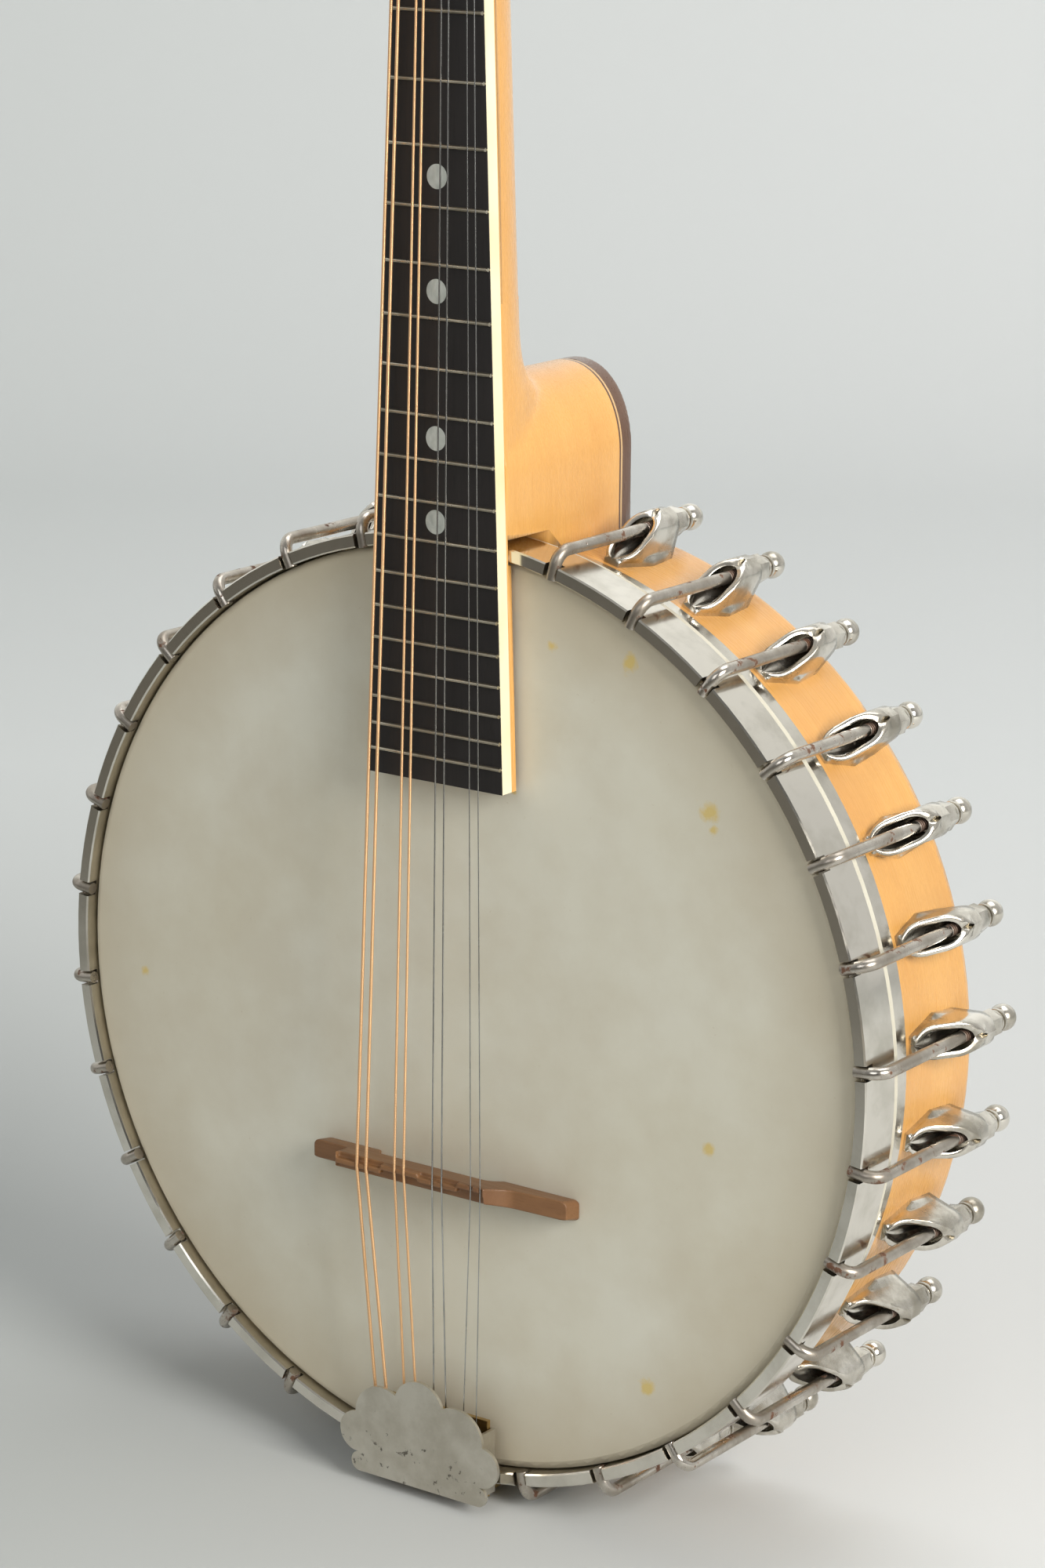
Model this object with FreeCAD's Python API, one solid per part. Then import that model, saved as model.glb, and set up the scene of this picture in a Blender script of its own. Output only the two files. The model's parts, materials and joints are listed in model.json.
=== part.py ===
import FreeCAD, Part
import math
import os
from FreeCAD import Placement, Rotation, Vector

# An open-back banjo with eight strings in four courses. Millimetres.
# It is built round the pot: origin on the pot's axis in the plane of the
# tension hoop's front face, +X to the right as seen from the front, +Y to the
# back, +Z up the neck. The last step moves it on to its base (see main).

# ---------------------------------------------------------------- scale
SCALE_LENGTH = 352.4          # nut to bridge
BRIDGE_Z = -44.0              # mean string contact on the bridge
NUT_Z = BRIDGE_Z + SCALE_LENGTH

# ---------------------------------------------------------------- pot
RIM_OUTER_R = 129.0
RIM_WALL = 12.0
RIM_BACK_Y = 62.8
RIM_BACK_ROUND = 4.0
RIM_EDGE_ROUND = 1.5
BAND_WALL = 0.8
BAND_BACK_Y = 27.2
HEAD_Y = 2.8                  # front face of the skin
SKIN_THICKNESS = 0.4
SKIN_BEND_R = 2.4             # outer radius where the skin turns down
TONE_RING_WIDTH = 4.5
TONE_RING_HEIGHT = 4.0
HOOP_GAP = 0.7                # radial, rim to tension hoop
HOOP_WALL = 3.7
HOOP_HEIGHT = 14.0
HOOP_EDGE = 0.4               # chamfer on the hoop's front edges
FLESH_HOOP_WIDTH = 2.6
FLESH_HOOP_HEIGHT = 2.8

# ---------------------------------------------------------------- brackets
BRACKETS_PER_SIDE = 14
FIRST_BRACKET_DEG = 13.8      # from the neck's centre line
LAST_BRACKET_DEG = 167.7
BRACKET_PHASE_DEG = 0.8       # the whole set sits turned a little to the right
HOOK_WIRE_R = 1.7
HOOK_HOOP_GAP = 2.1           # wire to the hoop's outside
HOOK_BEND_R = 4.0
HOOK_INSET = 0.3              # the hook's tip stands this far inside the hoop
HOOK_NOTCH_GAP = 0.4          # each side of the wire
HOOK_SEAT_GAP = 0.05          # wire to the notch's floor
SHOE_FRONT_Y = 28.8
SHOE_BACK_Y = 51.5
SHOE_HALF_WIDTH = 4.4
SHOE_WALL = 1.5
SHOE_RING_WALL = 3.0
SHOE_FLOOR = 2.6              # above the rim
SHOE_FOOT_TIP_W = 5.4
SHOE_FOOT_WIDE_W = 11.8
SHOE_FOOT_BACK_W = 9.2
SHOE_FOOT_WIDE_Y = 40.5
SHOE_FOOT_HEIGHT = 1.5
SHOE_HOLE_GAP = 0.3
SHOE_BOLT_Y = 40.0
SHOE_BOLT_R = 2.0
SHOE_BOLT_HEAD_AF = 8.0
SHOE_BOLT_HEAD_H = 2.6
SHOE_WASHER_R = 5.0
SHOE_WASHER_T = 1.0
THREAD_GAP = 0.02             # a screw in its own thread
HOLE_GAP = 0.15               # a screw through a plain hole
NUT_HEX_AF = 7.2
NUT_HEX_LENGTH = 5.0
NUT_NECK_R = 2.6
NUT_RING_R = 3.2
NUT_RING_LENGTH = 0.9
NUT_BALL_R = 3.7
NUT_BALL_GAP = 2.9            # from the last ring to the ball's centre
HOOK_THREAD_END = 9.5         # thread beyond the shoe's back face

# ---------------------------------------------------------------- neck
BOARD_Y = -5.5                # front face of the fingerboard
BOARD_THICKNESS = 4.4
BOARD_OVER_HEAD = 62.2        # from the rim's outside to the board's end
BOARD_HALF_AT_NUT = 13.13
BOARD_TAPER = 0.038           # half width gained per millimetre below the nut
BINDING_T = 1.2
BINDING_COVER = 0.3           # ebony in front of the binding
FRET_COUNT = 19
FRET_WIDTH = 1.1
FRET_HEIGHT = 1.0
FRET_TANG_W = 0.5
FRET_TANG_DEPTH = 1.6
FRET_END_INSET = 0.15
DOT_R = 3.25
DOT_DEPTH = 1.2
DOT_FRETS = (5, 7, 10, 12)
TONGUE_THICKNESS = 0.7        # maple under the board, over the hoop
TONGUE_PAD = 1.3              # more of it, over the skin
NECK_DEPTH_NUT = 16.5         # behind the fingerboard
NECK_DEPTH_HEEL = 20.5
HEEL_RISE = 48.3              # from the rim's outside to the heel's top
HEEL_CORNER_RISE = 19.0       # to where its rounded top corner ends
HEEL_CORNER_DEPTH = 22.0
HEEL_INSET = 2.8              # heel's back in front of the rim's back edge
HEEL_HALF_WIDTH = 17.2
HEEL_NARROWING = 2.4          # of the half width at the rounded top corner
HEEL_ROUNDNESS = 1.9          # 2 is a plain ellipse, less is fuller
NECK_SIDE_POINTS = 9          # along each curved side of a section
HEEL_STEPS = 9                # sections along each curve of the heel
SHELF_SWEEP = 14.0            # height of the sweep from the heel into the shaft
SHAFT_FLAT_HALF = 2.2         # half width of the flat along the shaft's back
HEEL_CAP_T = 3.2
HEEL_LINE_T = 0.8
HEEL_SLOT_GAP = 0.8           # round the tension hoop
HEEL_SLOT_BACK_Y = 18.4
DOWEL_Y = 40.0
DOWEL_WIDTH = 19.0
DOWEL_HEIGHT = 22.0
DOWEL_TENON = 22.0            # into the heel
DOWEL_GAP = 0.1
DOWEL_EDGE = 2.0
BRACE_HALF_WIDTH = 19.5
BRACE_HALF_HEIGHT = 16.0
BRACE_T = 2.2
BRACE_PIN_R = 2.5
BRACE_PIN_LENGTH = 40.0

# ---------------------------------------------------------------- head stock
STOCK_ANGLE = 12.0
STOCK_FRONT_Y = -3.0
STOCK_THICKNESS = 14.5
STOCK_LENGTH = 120.0
STOCK_HALF = 28.0
STOCK_TOP_HALF = 30.0
STOCK_SHOULDER = 16.0
STOCK_CROWN = 8.0
VENEER_T = 1.2
STRING_NUT_T = 5.0
STRING_NUT_EXTRA = 0.35       # the nut's top above the strings' axes
NUT_SLOT_GAP = 0.1            # each side of a string, and half of it under the string
NUT_SLOT_FLARE = 0.45         # more on the head stock's side
NUT_SLOT_FALL = 1.2

# ---------------------------------------------------------------- tuners
POST_X = 17.5
POST_FIRST = 26.0
POST_PITCH = 23.0
POSTS_PER_SIDE = 4
POST_R = 3.0
POST_GAP = 0.05               # running fit in its bushing
POST_TALL = 13.0              # above the head stock
POST_HOLE_R = 0.8
BUSHING_WALL = 1.2
BUSHING_FLANGE_R = 5.2
BUSHING_FLANGE_T = 1.2
PLATE_T = 1.2
PLATE_HALF_WIDTH = 8.0
PLATE_END = 12.0              # beyond the first post and the last screw
GEAR_TEETH = 14
GEAR_TIP_R = 6.2
GEAR_ROOT_R = 5.1
GEAR_T = 3.0
GEAR_HUB_R = 2.0
GEAR_SCREW_R = 2.6
GEAR_SCREW_T = 1.2
WORM_R = 2.8
WORM_ROOT_R = 2.1
WORM_LENGTH = 8.0
WORM_RIDGES = 4
WORM_MESH_GAP = 0.12          # worm to gear tips
WORM_PLATE_GAP = 0.2
KEY_SHAFT_R = 1.5
KEY_END_GAP = 0.4             # worm to each lug
LUG_T = 1.4
LUG_HALF_WIDTH = 3.0
LUG_ABOVE = 2.6               # metal round the shaft hole
KEY_REACH = 12.5              # button's inner face beyond the outer lug
BUTTON_LENGTH = 12.0
BUTTON_HALF_WIDTH = 8.0
BUTTON_HALF_T = 3.2
SCREW_HEAD_R = 2.0
SCREW_HEAD_T = 1.0
SCREW_SHANK_R = 1.0
SCREW_LENGTH = 9.0
SCREW_FROM_POST = 14.4

# ---------------------------------------------------------------- strings
STRING_R = (0.45, 0.45, 0.36, 0.36, 0.22, 0.22, 0.16, 0.16)
STRING_NUT_Y = -7.1
STRING_BRIDGE_Y = -12.3
COURSE_AT_NUT = 7.46          # between the courses' centres
COURSE_AT_BRIDGE = 12.97
COURSE_AT_TAIL = 10.0
PAIR_AT_NUT = 2.2             # between the two strings of a course
PAIR_AT_BRIDGE = 3.2
PAIR_AT_TAIL = 4.4
COURSE_OFFSET = (0.2, 1.5, 0.6, 1.9)     # compensation of each course
STRING_BEND_R = 2.5
STRING_POST_Y = -8.6          # height of the wound end, in the head stock's frame
STRING_POST_GAP = 0.1

# ---------------------------------------------------------------- bridge
BRIDGE_HALF = 43.5
BRIDGE_CROWN_HALF = 27.5
BRIDGE_TIP_HEIGHT = 4.4
BRIDGE_BASE = (-5.8, -0.3)    # the foot's two edges, from the strings' mean contact
BRIDGE_TOP = (-1.6, 2.8)      # the crown's two edges, likewise
BRIDGE_ARCH = (-24.0, 18.0)   # the arch between the feet
BRIDGE_ARCH_HEIGHT = 4.2
BRIDGE_ARCH_ROUND = 3.0
BRIDGE_STEP_DEPTH = 2.2       # height of the compensating steps
BRIDGE_STEP_T = 1.4
BRIDGE_SLOT_GAP = 0.12
BRIDGE_SLOT_EXTRA = 0.35      # slot's floor below the string
BRIDGE_CROWN_EXTRA = 0.3      # crown above the strings' axes

# ---------------------------------------------------------------- tailpiece
TAIL_METAL = 1.4
TAIL_HOOP_GAP = 0.3           # flange to the hoop
TAIL_STANDOFF = 2.0           # base plate in front of the hoop
TAIL_X = -1.8                 # the tailpiece sits a little to the left
TAIL_HALF_WIDTH = 19.3
TAIL_FLANGE_HALF = 17.4
TAIL_REACH = 20.9             # base plate inside the hoop's outside
TAIL_FLANGE_BACK_Y = 49.0
PEG_R = 0.9
PEG_REACH = (15.4, 10.9)      # the two rows of pegs, likewise
PEG_TALL = 3.9
PEG_STRING_Y = -5.8
LOOP_GAP = 0.1
COVER_Y = -9.5
COVER_T = 1.0
COVER_WALL = 0.9
COVER_GAP = 0.3
COVER_LIP = 2.3
COVER_LIP_T = 0.5
COVER_RAIL_REACH = 18.4
COVER_REAR = 2.0              # beyond the hoop's outside
END_BOLT_R = 2.5
END_BOLT_HEAD_R = 6.0
END_BOLT_HEAD_T = 1.5
END_BOLT_GRIP = 30.0
END_SPACER_R = 5.0

# ---------------------------------------------------------------- derived
RIM_INNER_R = RIM_OUTER_R - RIM_WALL
RIM_FRONT_Y = HEAD_Y + SKIN_THICKNESS + TONE_RING_HEIGHT
HOOP_INNER_R = RIM_OUTER_R + HOOP_GAP
HOOP_OUTER_R = HOOP_INNER_R + HOOP_WALL
HOOK_AXIS_R = HOOP_OUTER_R + HOOK_HOOP_GAP + HOOK_WIRE_R
HEEL_TOP_Z = RIM_OUTER_R + HEEL_RISE
HEEL_CORNER_Z = RIM_OUTER_R + HEEL_CORNER_RISE
HEEL_BACK_Y = RIM_BACK_Y - HEEL_INSET
BOARD_END_Z = RIM_OUTER_R - BOARD_OVER_HEAD
BOARD_BACK_Y = BOARD_Y + BOARD_THICKNESS
NECK_TOP_Y = BOARD_BACK_Y
TAIL_PLATE_Y = -TAIL_STANDOFF - TAIL_METAL
TAIL_FLANGE_R = HOOP_OUTER_R + TAIL_HOOP_GAP
STOCK_BACK_Y = STOCK_FRONT_Y + STOCK_THICKNESS
STOCK_PIVOT = Vector(0, STOCK_FRONT_Y, NUT_Z + STRING_NUT_T)
PLATE_BACK_Y = STOCK_BACK_Y + PLATE_T
WORM_Y = PLATE_BACK_Y + WORM_PLATE_GAP + WORM_R
WORM_OFFSET = GEAR_TIP_R + WORM_R + WORM_MESH_GAP
LUG_IN = POST_X - WORM_LENGTH / 2 - KEY_END_GAP
LUG_OUT = POST_X + WORM_LENGTH / 2 + KEY_END_GAP
BUTTON_X = LUG_OUT + LUG_T + KEY_REACH
STRINGS = 2 * POSTS_PER_SIDE

AXIS_X, AXIS_Y, AXIS_Z = Vector(1, 0, 0), Vector(0, 1, 0), Vector(0, 0, 1)


# ---------------------------------------------------------------- helpers
def block(x0, x1, y0, y1, z0, z1):
    """Return a box from its two corners."""
    return Part.makeBox(x1 - x0, y1 - y0, z1 - z0, Vector(x0, y0, z0))


def rod(radius, start, end):
    """Return a cylinder between two points."""
    run = end - start
    return Part.makeCylinder(radius, run.Length, start, run)


def ring(inner, outer, y0, y1):
    """Return a ring about the pot's axis."""
    start = Vector(0, y0, 0)
    solid = Part.makeCylinder(outer, y1 - y0, start, AXIS_Y)
    return solid.cut(Part.makeCylinder(inner, y1 - y0, start, AXIS_Y))


def face_of(points):
    """Return a flat face with straight edges."""
    return Part.Face(Part.makePolygon(points + points[:1]))


def outline(steps):
    """Return a face whose edge runs through steps: a point ends a line, a pair ends an arc."""
    edges = []
    here = steps[0]
    for step in steps[1:]:
        if isinstance(step, tuple):
            edges.append(Part.Arc(here, step[0], step[1]).toShape())
            here = step[1]
        else:
            edges.append(Part.LineSegment(here, step).toShape())
            here = step
    return Part.Face(Part.Wire(edges))


def corner_arc(centre, radius, from_deg, to_deg):
    """Return the (middle, end) pair of an arc in the XY plane."""
    def at(deg):
        return centre + Vector(math.cos(math.radians(deg)), math.sin(math.radians(deg)), 0) * radius
    return at((from_deg + to_deg) / 2), at(to_deg)


def spin(face):
    """Return a face of the XY plane turned once round the pot's axis."""
    return face.revolve(Vector(), AXIS_Y, 360)


def compound(shapes):
    """Return several solids as one shape."""
    return shapes[0] if len(shapes) == 1 else Part.makeCompound(shapes)


def mirror_x(shape):
    """Return a shape mirrored to the other side of the centre line."""
    return shape.mirror(Vector(), AXIS_X)


def bracket_angles():
    """Return the brackets' angles from the neck, right side then left side."""
    step = (LAST_BRACKET_DEG - FIRST_BRACKET_DEG) / (BRACKETS_PER_SIDE - 1)
    right = [FIRST_BRACKET_DEG + step * k for k in range(BRACKETS_PER_SIDE)]
    left = [-angle for angle in right]
    return [angle + BRACKET_PHASE_DEG for angle in right + left]


def turned(shape, angle):
    """Return a copy of a shape of the neck's side turned to an angle round the pot."""
    copy = shape.copy()
    copy.rotate(Vector(), AXIS_Y, angle)
    return copy


def round_the_pot(shape):
    """Return one copy of a shape for each bracket."""
    return compound([turned(shape, angle) for angle in bracket_angles()])


def hex_prism(flats, start, length, direction):
    """Return a hexagonal prism with a flat along the direction's side."""
    radius = flats / 2 / math.cos(math.radians(30))
    points = [Vector(radius * math.cos(math.radians(60 * k)),
                     radius * math.sin(math.radians(60 * k)), 0) for k in range(6)]
    prism = face_of(points).extrude(Vector(0, 0, length))
    prism.Placement = Placement(start, Rotation(AXIS_Z, direction))
    return prism


def tipped(shape):
    """Return a shape of the head stock's frame leant back at the nut."""
    copy = shape.copy()
    copy.rotate(STOCK_PIVOT, AXIS_X, -STOCK_ANGLE)
    return copy


def tipped_point(point):
    """Return a point of the head stock's frame leant back at the nut."""
    return STOCK_PIVOT + Rotation(AXIS_X, -STOCK_ANGLE).multVec(point - STOCK_PIVOT)


def neck_half(z):
    """Return the half width of the fingerboard and the neck at a height."""
    return BOARD_HALF_AT_NUT + BOARD_TAPER * (NUT_Z - z)


def core_half(z):
    """Return the fingerboard's half width between its bindings."""
    return neck_half(z) - BINDING_T


# ---------------------------------------------------------------- pot
def rim_profile(outer):
    """Return the wooden rim's section, with the band's seat cut back to an outer radius."""
    r_in, r_out = RIM_INNER_R, RIM_OUTER_R
    big, small = RIM_BACK_ROUND, RIM_EDGE_ROUND
    back_out = Vector(r_out - big, RIM_BACK_Y - big, 0)
    back_in = Vector(r_in + small, RIM_BACK_Y - small, 0)
    return outline([
        Vector(r_in, RIM_FRONT_Y, 0), Vector(outer, RIM_FRONT_Y, 0), Vector(outer, BAND_BACK_Y, 0),
        Vector(r_out, BAND_BACK_Y, 0), Vector(r_out, RIM_BACK_Y - big, 0),
        corner_arc(back_out, big, 0, 90), Vector(r_in + small, RIM_BACK_Y, 0),
        corner_arc(back_in, small, 90, 180), Vector(r_in, RIM_FRONT_Y, 0)])


def dowel_bar(z0, z1, gap=0.0):
    """Return a length of the dowel stick's square bar."""
    half_w, half_h = DOWEL_WIDTH / 2 + gap, DOWEL_HEIGHT / 2 + gap
    return block(-half_w, half_w, DOWEL_Y - half_h, DOWEL_Y + half_h, z0, z1)


def rim_shell():
    """Return the bent maple rim with its bolt holes and the dowel's opening."""
    rim = spin(rim_profile(RIM_OUTER_R - BAND_WALL))
    hole = rod(SHOE_BOLT_R + HOLE_GAP, Vector(0, SHOE_BOLT_Y, RIM_INNER_R - RIM_WALL),
               Vector(0, SHOE_BOLT_Y, RIM_OUTER_R + RIM_WALL))
    end_hole = rod(END_BOLT_R + HOLE_GAP, Vector(0, DOWEL_Y, RIM_WALL - RIM_OUTER_R * 2),
                   Vector(0, DOWEL_Y, -RIM_INNER_R + RIM_WALL))
    rim = rim.cut(dowel_bar(0, RIM_OUTER_R * 2, DOWEL_GAP))
    return rim.cut(round_the_pot(hole)).cut(end_hole)


def rim_band():
    """Return the nickel sleeve let into the front of the rim."""
    return ring(RIM_OUTER_R - BAND_WALL, RIM_OUTER_R, RIM_FRONT_Y, BAND_BACK_Y)


def tone_ring():
    """Return the ring that carries the skin, rounded where the skin turns down."""
    top, inner_bend = HEAD_Y + SKIN_THICKNESS, SKIN_BEND_R - SKIN_THICKNESS
    centre = Vector(RIM_OUTER_R - inner_bend, top + inner_bend, 0)
    return spin(outline([
        Vector(RIM_OUTER_R - TONE_RING_WIDTH, top, 0), Vector(centre.x, top, 0),
        corner_arc(centre, inner_bend, -90, 0), Vector(RIM_OUTER_R, RIM_FRONT_Y, 0),
        Vector(RIM_OUTER_R - TONE_RING_WIDTH, RIM_FRONT_Y, 0),
        Vector(RIM_OUTER_R - TONE_RING_WIDTH, top, 0)]))


def head_skin():
    """Return the skin: a flat disc, a skirt down the rim and a cup round the flesh hoop."""
    skin, r = SKIN_THICKNESS, RIM_OUTER_R
    centre = Vector(r + skin - SKIN_BEND_R, HEAD_Y + SKIN_BEND_R, 0)
    cup_in, cup_y = r + skin + FLESH_HOOP_WIDTH, HOOP_HEIGHT + FLESH_HOOP_HEIGHT
    return spin(outline([
        Vector(0, HEAD_Y, 0), Vector(centre.x, HEAD_Y, 0), corner_arc(centre, SKIN_BEND_R, -90, 0),
        Vector(r + skin, cup_y, 0), Vector(cup_in, cup_y, 0), Vector(cup_in, HOOP_HEIGHT, 0),
        Vector(cup_in + skin, HOOP_HEIGHT, 0), Vector(cup_in + skin, cup_y + skin, 0),
        Vector(r, cup_y + skin, 0), Vector(r, centre.y, 0),
        corner_arc(centre, SKIN_BEND_R - skin, 0, -90), Vector(0, HEAD_Y + skin, 0),
        Vector(0, HEAD_Y, 0)]))


def flesh_hoop():
    """Return the wire hoop held in the skin's cup."""
    inner = RIM_OUTER_R + SKIN_THICKNESS
    return ring(inner, inner + FLESH_HOOP_WIDTH, HOOP_HEIGHT, HOOP_HEIGHT + FLESH_HOOP_HEIGHT)


def tension_hoop():
    """Return the grooved hoop with one notch across its front for each hook."""
    edge = HOOP_EDGE
    hoop = spin(face_of([
        Vector(HOOP_INNER_R + edge, 0, 0), Vector(HOOP_OUTER_R - edge, 0, 0),
        Vector(HOOP_OUTER_R, edge, 0), Vector(HOOP_OUTER_R, HOOP_HEIGHT, 0),
        Vector(HOOP_INNER_R, HOOP_HEIGHT, 0), Vector(HOOP_INNER_R, edge, 0)]))
    half = HOOK_WIRE_R + HOOK_NOTCH_GAP
    notch = block(-half, half, -1, 2 * HOOK_WIRE_R + HOOK_SEAT_GAP,
                  HOOP_INNER_R - HOOP_WALL, HOOP_OUTER_R + HOOP_WALL)
    return hoop.cut(round_the_pot(notch))


# ---------------------------------------------------------------- brackets
def bracket_hook():
    """Return one round hook: over the hoop, round a bend and back through its shoe."""
    y0, bend = HOOK_WIRE_R, HOOK_BEND_R
    tip = Vector(0, y0, HOOP_INNER_R - HOOK_INSET)
    turn = Vector(0, y0 + bend, HOOK_AXIS_R - bend)
    on_arc = turn + Vector(0, -math.sqrt(0.5), math.sqrt(0.5)) * bend
    path = Part.Wire([
        Part.LineSegment(tip, Vector(0, y0, turn.z)).toShape(),
        Part.Arc(Vector(0, y0, turn.z), on_arc, Vector(0, turn.y, HOOK_AXIS_R)).toShape(),
        Part.LineSegment(Vector(0, turn.y, HOOK_AXIS_R),
                         Vector(0, SHOE_BACK_Y + HOOK_THREAD_END, HOOK_AXIS_R)).toShape()])
    section = Part.Wire(Part.makeCircle(HOOK_WIRE_R, tip, AXIS_Z))
    return path.makePipeShell([section], True, False)


def bracket_shoe():
    """Return one cast shoe: a spoon-shaped lip that rises into a ring round the hook."""
    axis_front = Vector(0, SHOE_FRONT_Y, HOOK_AXIS_R)
    length = SHOE_BACK_Y - SHOE_FRONT_Y
    core = RIM_OUTER_R - RIM_WALL / 2
    body = Part.makeCylinder(SHOE_HALF_WIDTH, length, axis_front, AXIS_Y).fuse(
        block(-SHOE_HALF_WIDTH, SHOE_HALF_WIDTH, SHOE_FRONT_Y, SHOE_BACK_Y, core, HOOK_AXIS_R))
    top = HOOK_AXIS_R + SHOE_HALF_WIDTH
    ring_y = SHOE_BACK_Y - SHOE_RING_WALL
    lip_start = Vector(0, SHOE_FRONT_Y - 1, RIM_OUTER_R + SHOE_FOOT_HEIGHT)
    lip_end = Vector(0, ring_y, top + 1)
    lip_mid = (lip_start + lip_end) / 2 + Vector(0, 1, -1) * (length / 10)
    lip = outline([lip_start, (lip_mid, lip_end), Vector(0, lip_start.y, lip_end.z), lip_start])
    lip.translate(Vector(-SHOE_HALF_WIDTH - 1, 0, 0))
    body = body.cut(lip.extrude(Vector(2 * SHOE_HALF_WIDTH + 2, 0, 0)))
    inner = SHOE_HALF_WIDTH - SHOE_WALL
    trough = Part.makeCylinder(inner, ring_y - SHOE_FRONT_Y + 2, axis_front - AXIS_Y * 2, AXIS_Y)
    trough = trough.fuse(block(-inner, inner, SHOE_FRONT_Y - 2, ring_y,
                               RIM_OUTER_R + SHOE_FLOOR, HOOK_AXIS_R))
    body = body.cut(trough)
    half_widths = ((SHOE_FOOT_TIP_W / 2, SHOE_FRONT_Y), (SHOE_FOOT_WIDE_W / 2, SHOE_FOOT_WIDE_Y),
                   (SHOE_FOOT_BACK_W / 2, SHOE_BACK_Y))
    side = [Vector(x, y, core) for x, y in half_widths]
    foot = face_of(side + [Vector(-p.x, p.y, core) for p in reversed(side)])
    body = body.fuse(foot.extrude(Vector(0, 0, RIM_OUTER_R + SHOE_FOOT_HEIGHT - core)))
    body = body.cut(Part.makeCylinder(RIM_OUTER_R, RIM_BACK_Y, Vector(), AXIS_Y))
    body = body.cut(rod(HOOK_WIRE_R + SHOE_HOLE_GAP, Vector(0, ring_y - 1, HOOK_AXIS_R),
                        Vector(0, SHOE_BACK_Y + 1, HOOK_AXIS_R)))
    body = body.cut(rod(SHOE_BOLT_R + THREAD_GAP, Vector(0, SHOE_BOLT_Y, core),
                        Vector(0, SHOE_BOLT_Y, RIM_OUTER_R + SHOE_FLOOR + 1)))
    return body.removeSplitter()


def shoe_washer_seat():
    """Return the radius at which a flat washer meets the rim's hollow inside."""
    return math.sqrt(RIM_INNER_R ** 2 - SHOE_WASHER_R ** 2)


def shoe_bolt():
    """Return one bolt through the rim into its shoe."""
    seat = shoe_washer_seat() - SHOE_WASHER_T
    head = hex_prism(SHOE_BOLT_HEAD_AF, Vector(0, SHOE_BOLT_Y, seat - SHOE_BOLT_HEAD_H),
                     SHOE_BOLT_HEAD_H, AXIS_Z)
    return head.fuse(rod(SHOE_BOLT_R, Vector(0, SHOE_BOLT_Y, seat - SHOE_BOLT_HEAD_H / 2),
                         Vector(0, SHOE_BOLT_Y, RIM_OUTER_R + SHOE_FLOOR - THREAD_GAP)))


def shoe_washer():
    """Return one washer inside the rim."""
    face, back = shoe_washer_seat(), shoe_washer_seat() - SHOE_WASHER_T
    washer = rod(SHOE_WASHER_R, Vector(0, SHOE_BOLT_Y, back), Vector(0, SHOE_BOLT_Y, face))
    return washer.cut(rod(SHOE_BOLT_R + HOLE_GAP, Vector(0, SHOE_BOLT_Y, back - 1),
                          Vector(0, SHOE_BOLT_Y, face + 1)))


def bracket_nut():
    """Return one long nut: a hexagon, a ringed neck and a closed ball end."""
    y0 = SHOE_BACK_Y
    y1 = y0 + NUT_HEX_LENGTH
    hexagon = hex_prism(NUT_HEX_AF, Vector(0, y0, 0), NUT_HEX_LENGTH, AXIS_Y)
    step, neck, big = NUT_RING_LENGTH, NUT_NECK_R, NUT_RING_R
    rings_end = y1 + 4 * step
    ball_y = rings_end + NUT_BALL_GAP
    meet = ball_y - math.sqrt(NUT_BALL_R ** 2 - neck ** 2)
    turned_end = outline([
        Vector(0, y1, 0), Vector(neck, y1, 0), Vector(neck, y1 + step, 0), Vector(big, y1 + step, 0),
        Vector(big, y1 + 2 * step, 0), Vector(neck, y1 + 2 * step, 0), Vector(neck, y1 + 3 * step, 0),
        Vector(big, y1 + 3 * step, 0), Vector(big, rings_end, 0), Vector(neck, rings_end, 0),
        Vector(neck, meet, 0), (Vector(NUT_BALL_R, ball_y, 0), Vector(0, ball_y + NUT_BALL_R, 0)),
        Vector(0, y1, 0)])
    nut = hexagon.fuse(spin(turned_end))
    nut = nut.cut(rod(HOOK_WIRE_R + THREAD_GAP, Vector(0, y0 - 1, 0),
                      Vector(0, y0 + HOOK_THREAD_END + THREAD_GAP, 0)))
    nut.translate(Vector(0, 0, HOOK_AXIS_R))
    return nut


# ---------------------------------------------------------------- neck
def neck_section(z, depth, back_half, roundness):
    """Return the neck's section at a height: a flat front, two curved sides and a flat back."""
    half = neck_half(z)
    power = 2.0 / roundness
    side = []
    for k in range(NECK_SIDE_POINTS):
        turn = math.radians(90 * k / (NECK_SIDE_POINTS - 1))
        x = back_half + (half - back_half) * math.cos(turn) ** power
        side.append(Vector(x, NECK_TOP_Y + depth * math.sin(turn) ** power, z))
    other = [Vector(-p.x, p.y, p.z) for p in reversed(side)]
    right, left = Part.BSplineCurve(), Part.BSplineCurve()
    right.interpolate(side)
    left.interpolate(other)
    return Part.Wire([
        Part.LineSegment(other[-1], side[0]).toShape(), right.toShape(),
        Part.LineSegment(side[-1], other[0]).toShape(), left.toShape()])


def heel_depth(z):
    """Return how far the heel's outer face stands behind the fingerboard."""
    corner = HEEL_TOP_Z - HEEL_CORNER_Z
    rise = min(1.0, max(0.0, (z - HEEL_CORNER_Z) / corner))
    flat = HEEL_BACK_Y - HEEL_CORNER_DEPTH - NECK_TOP_Y
    return flat + HEEL_CORNER_DEPTH * math.sqrt(1 - rise ** 2)


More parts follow.
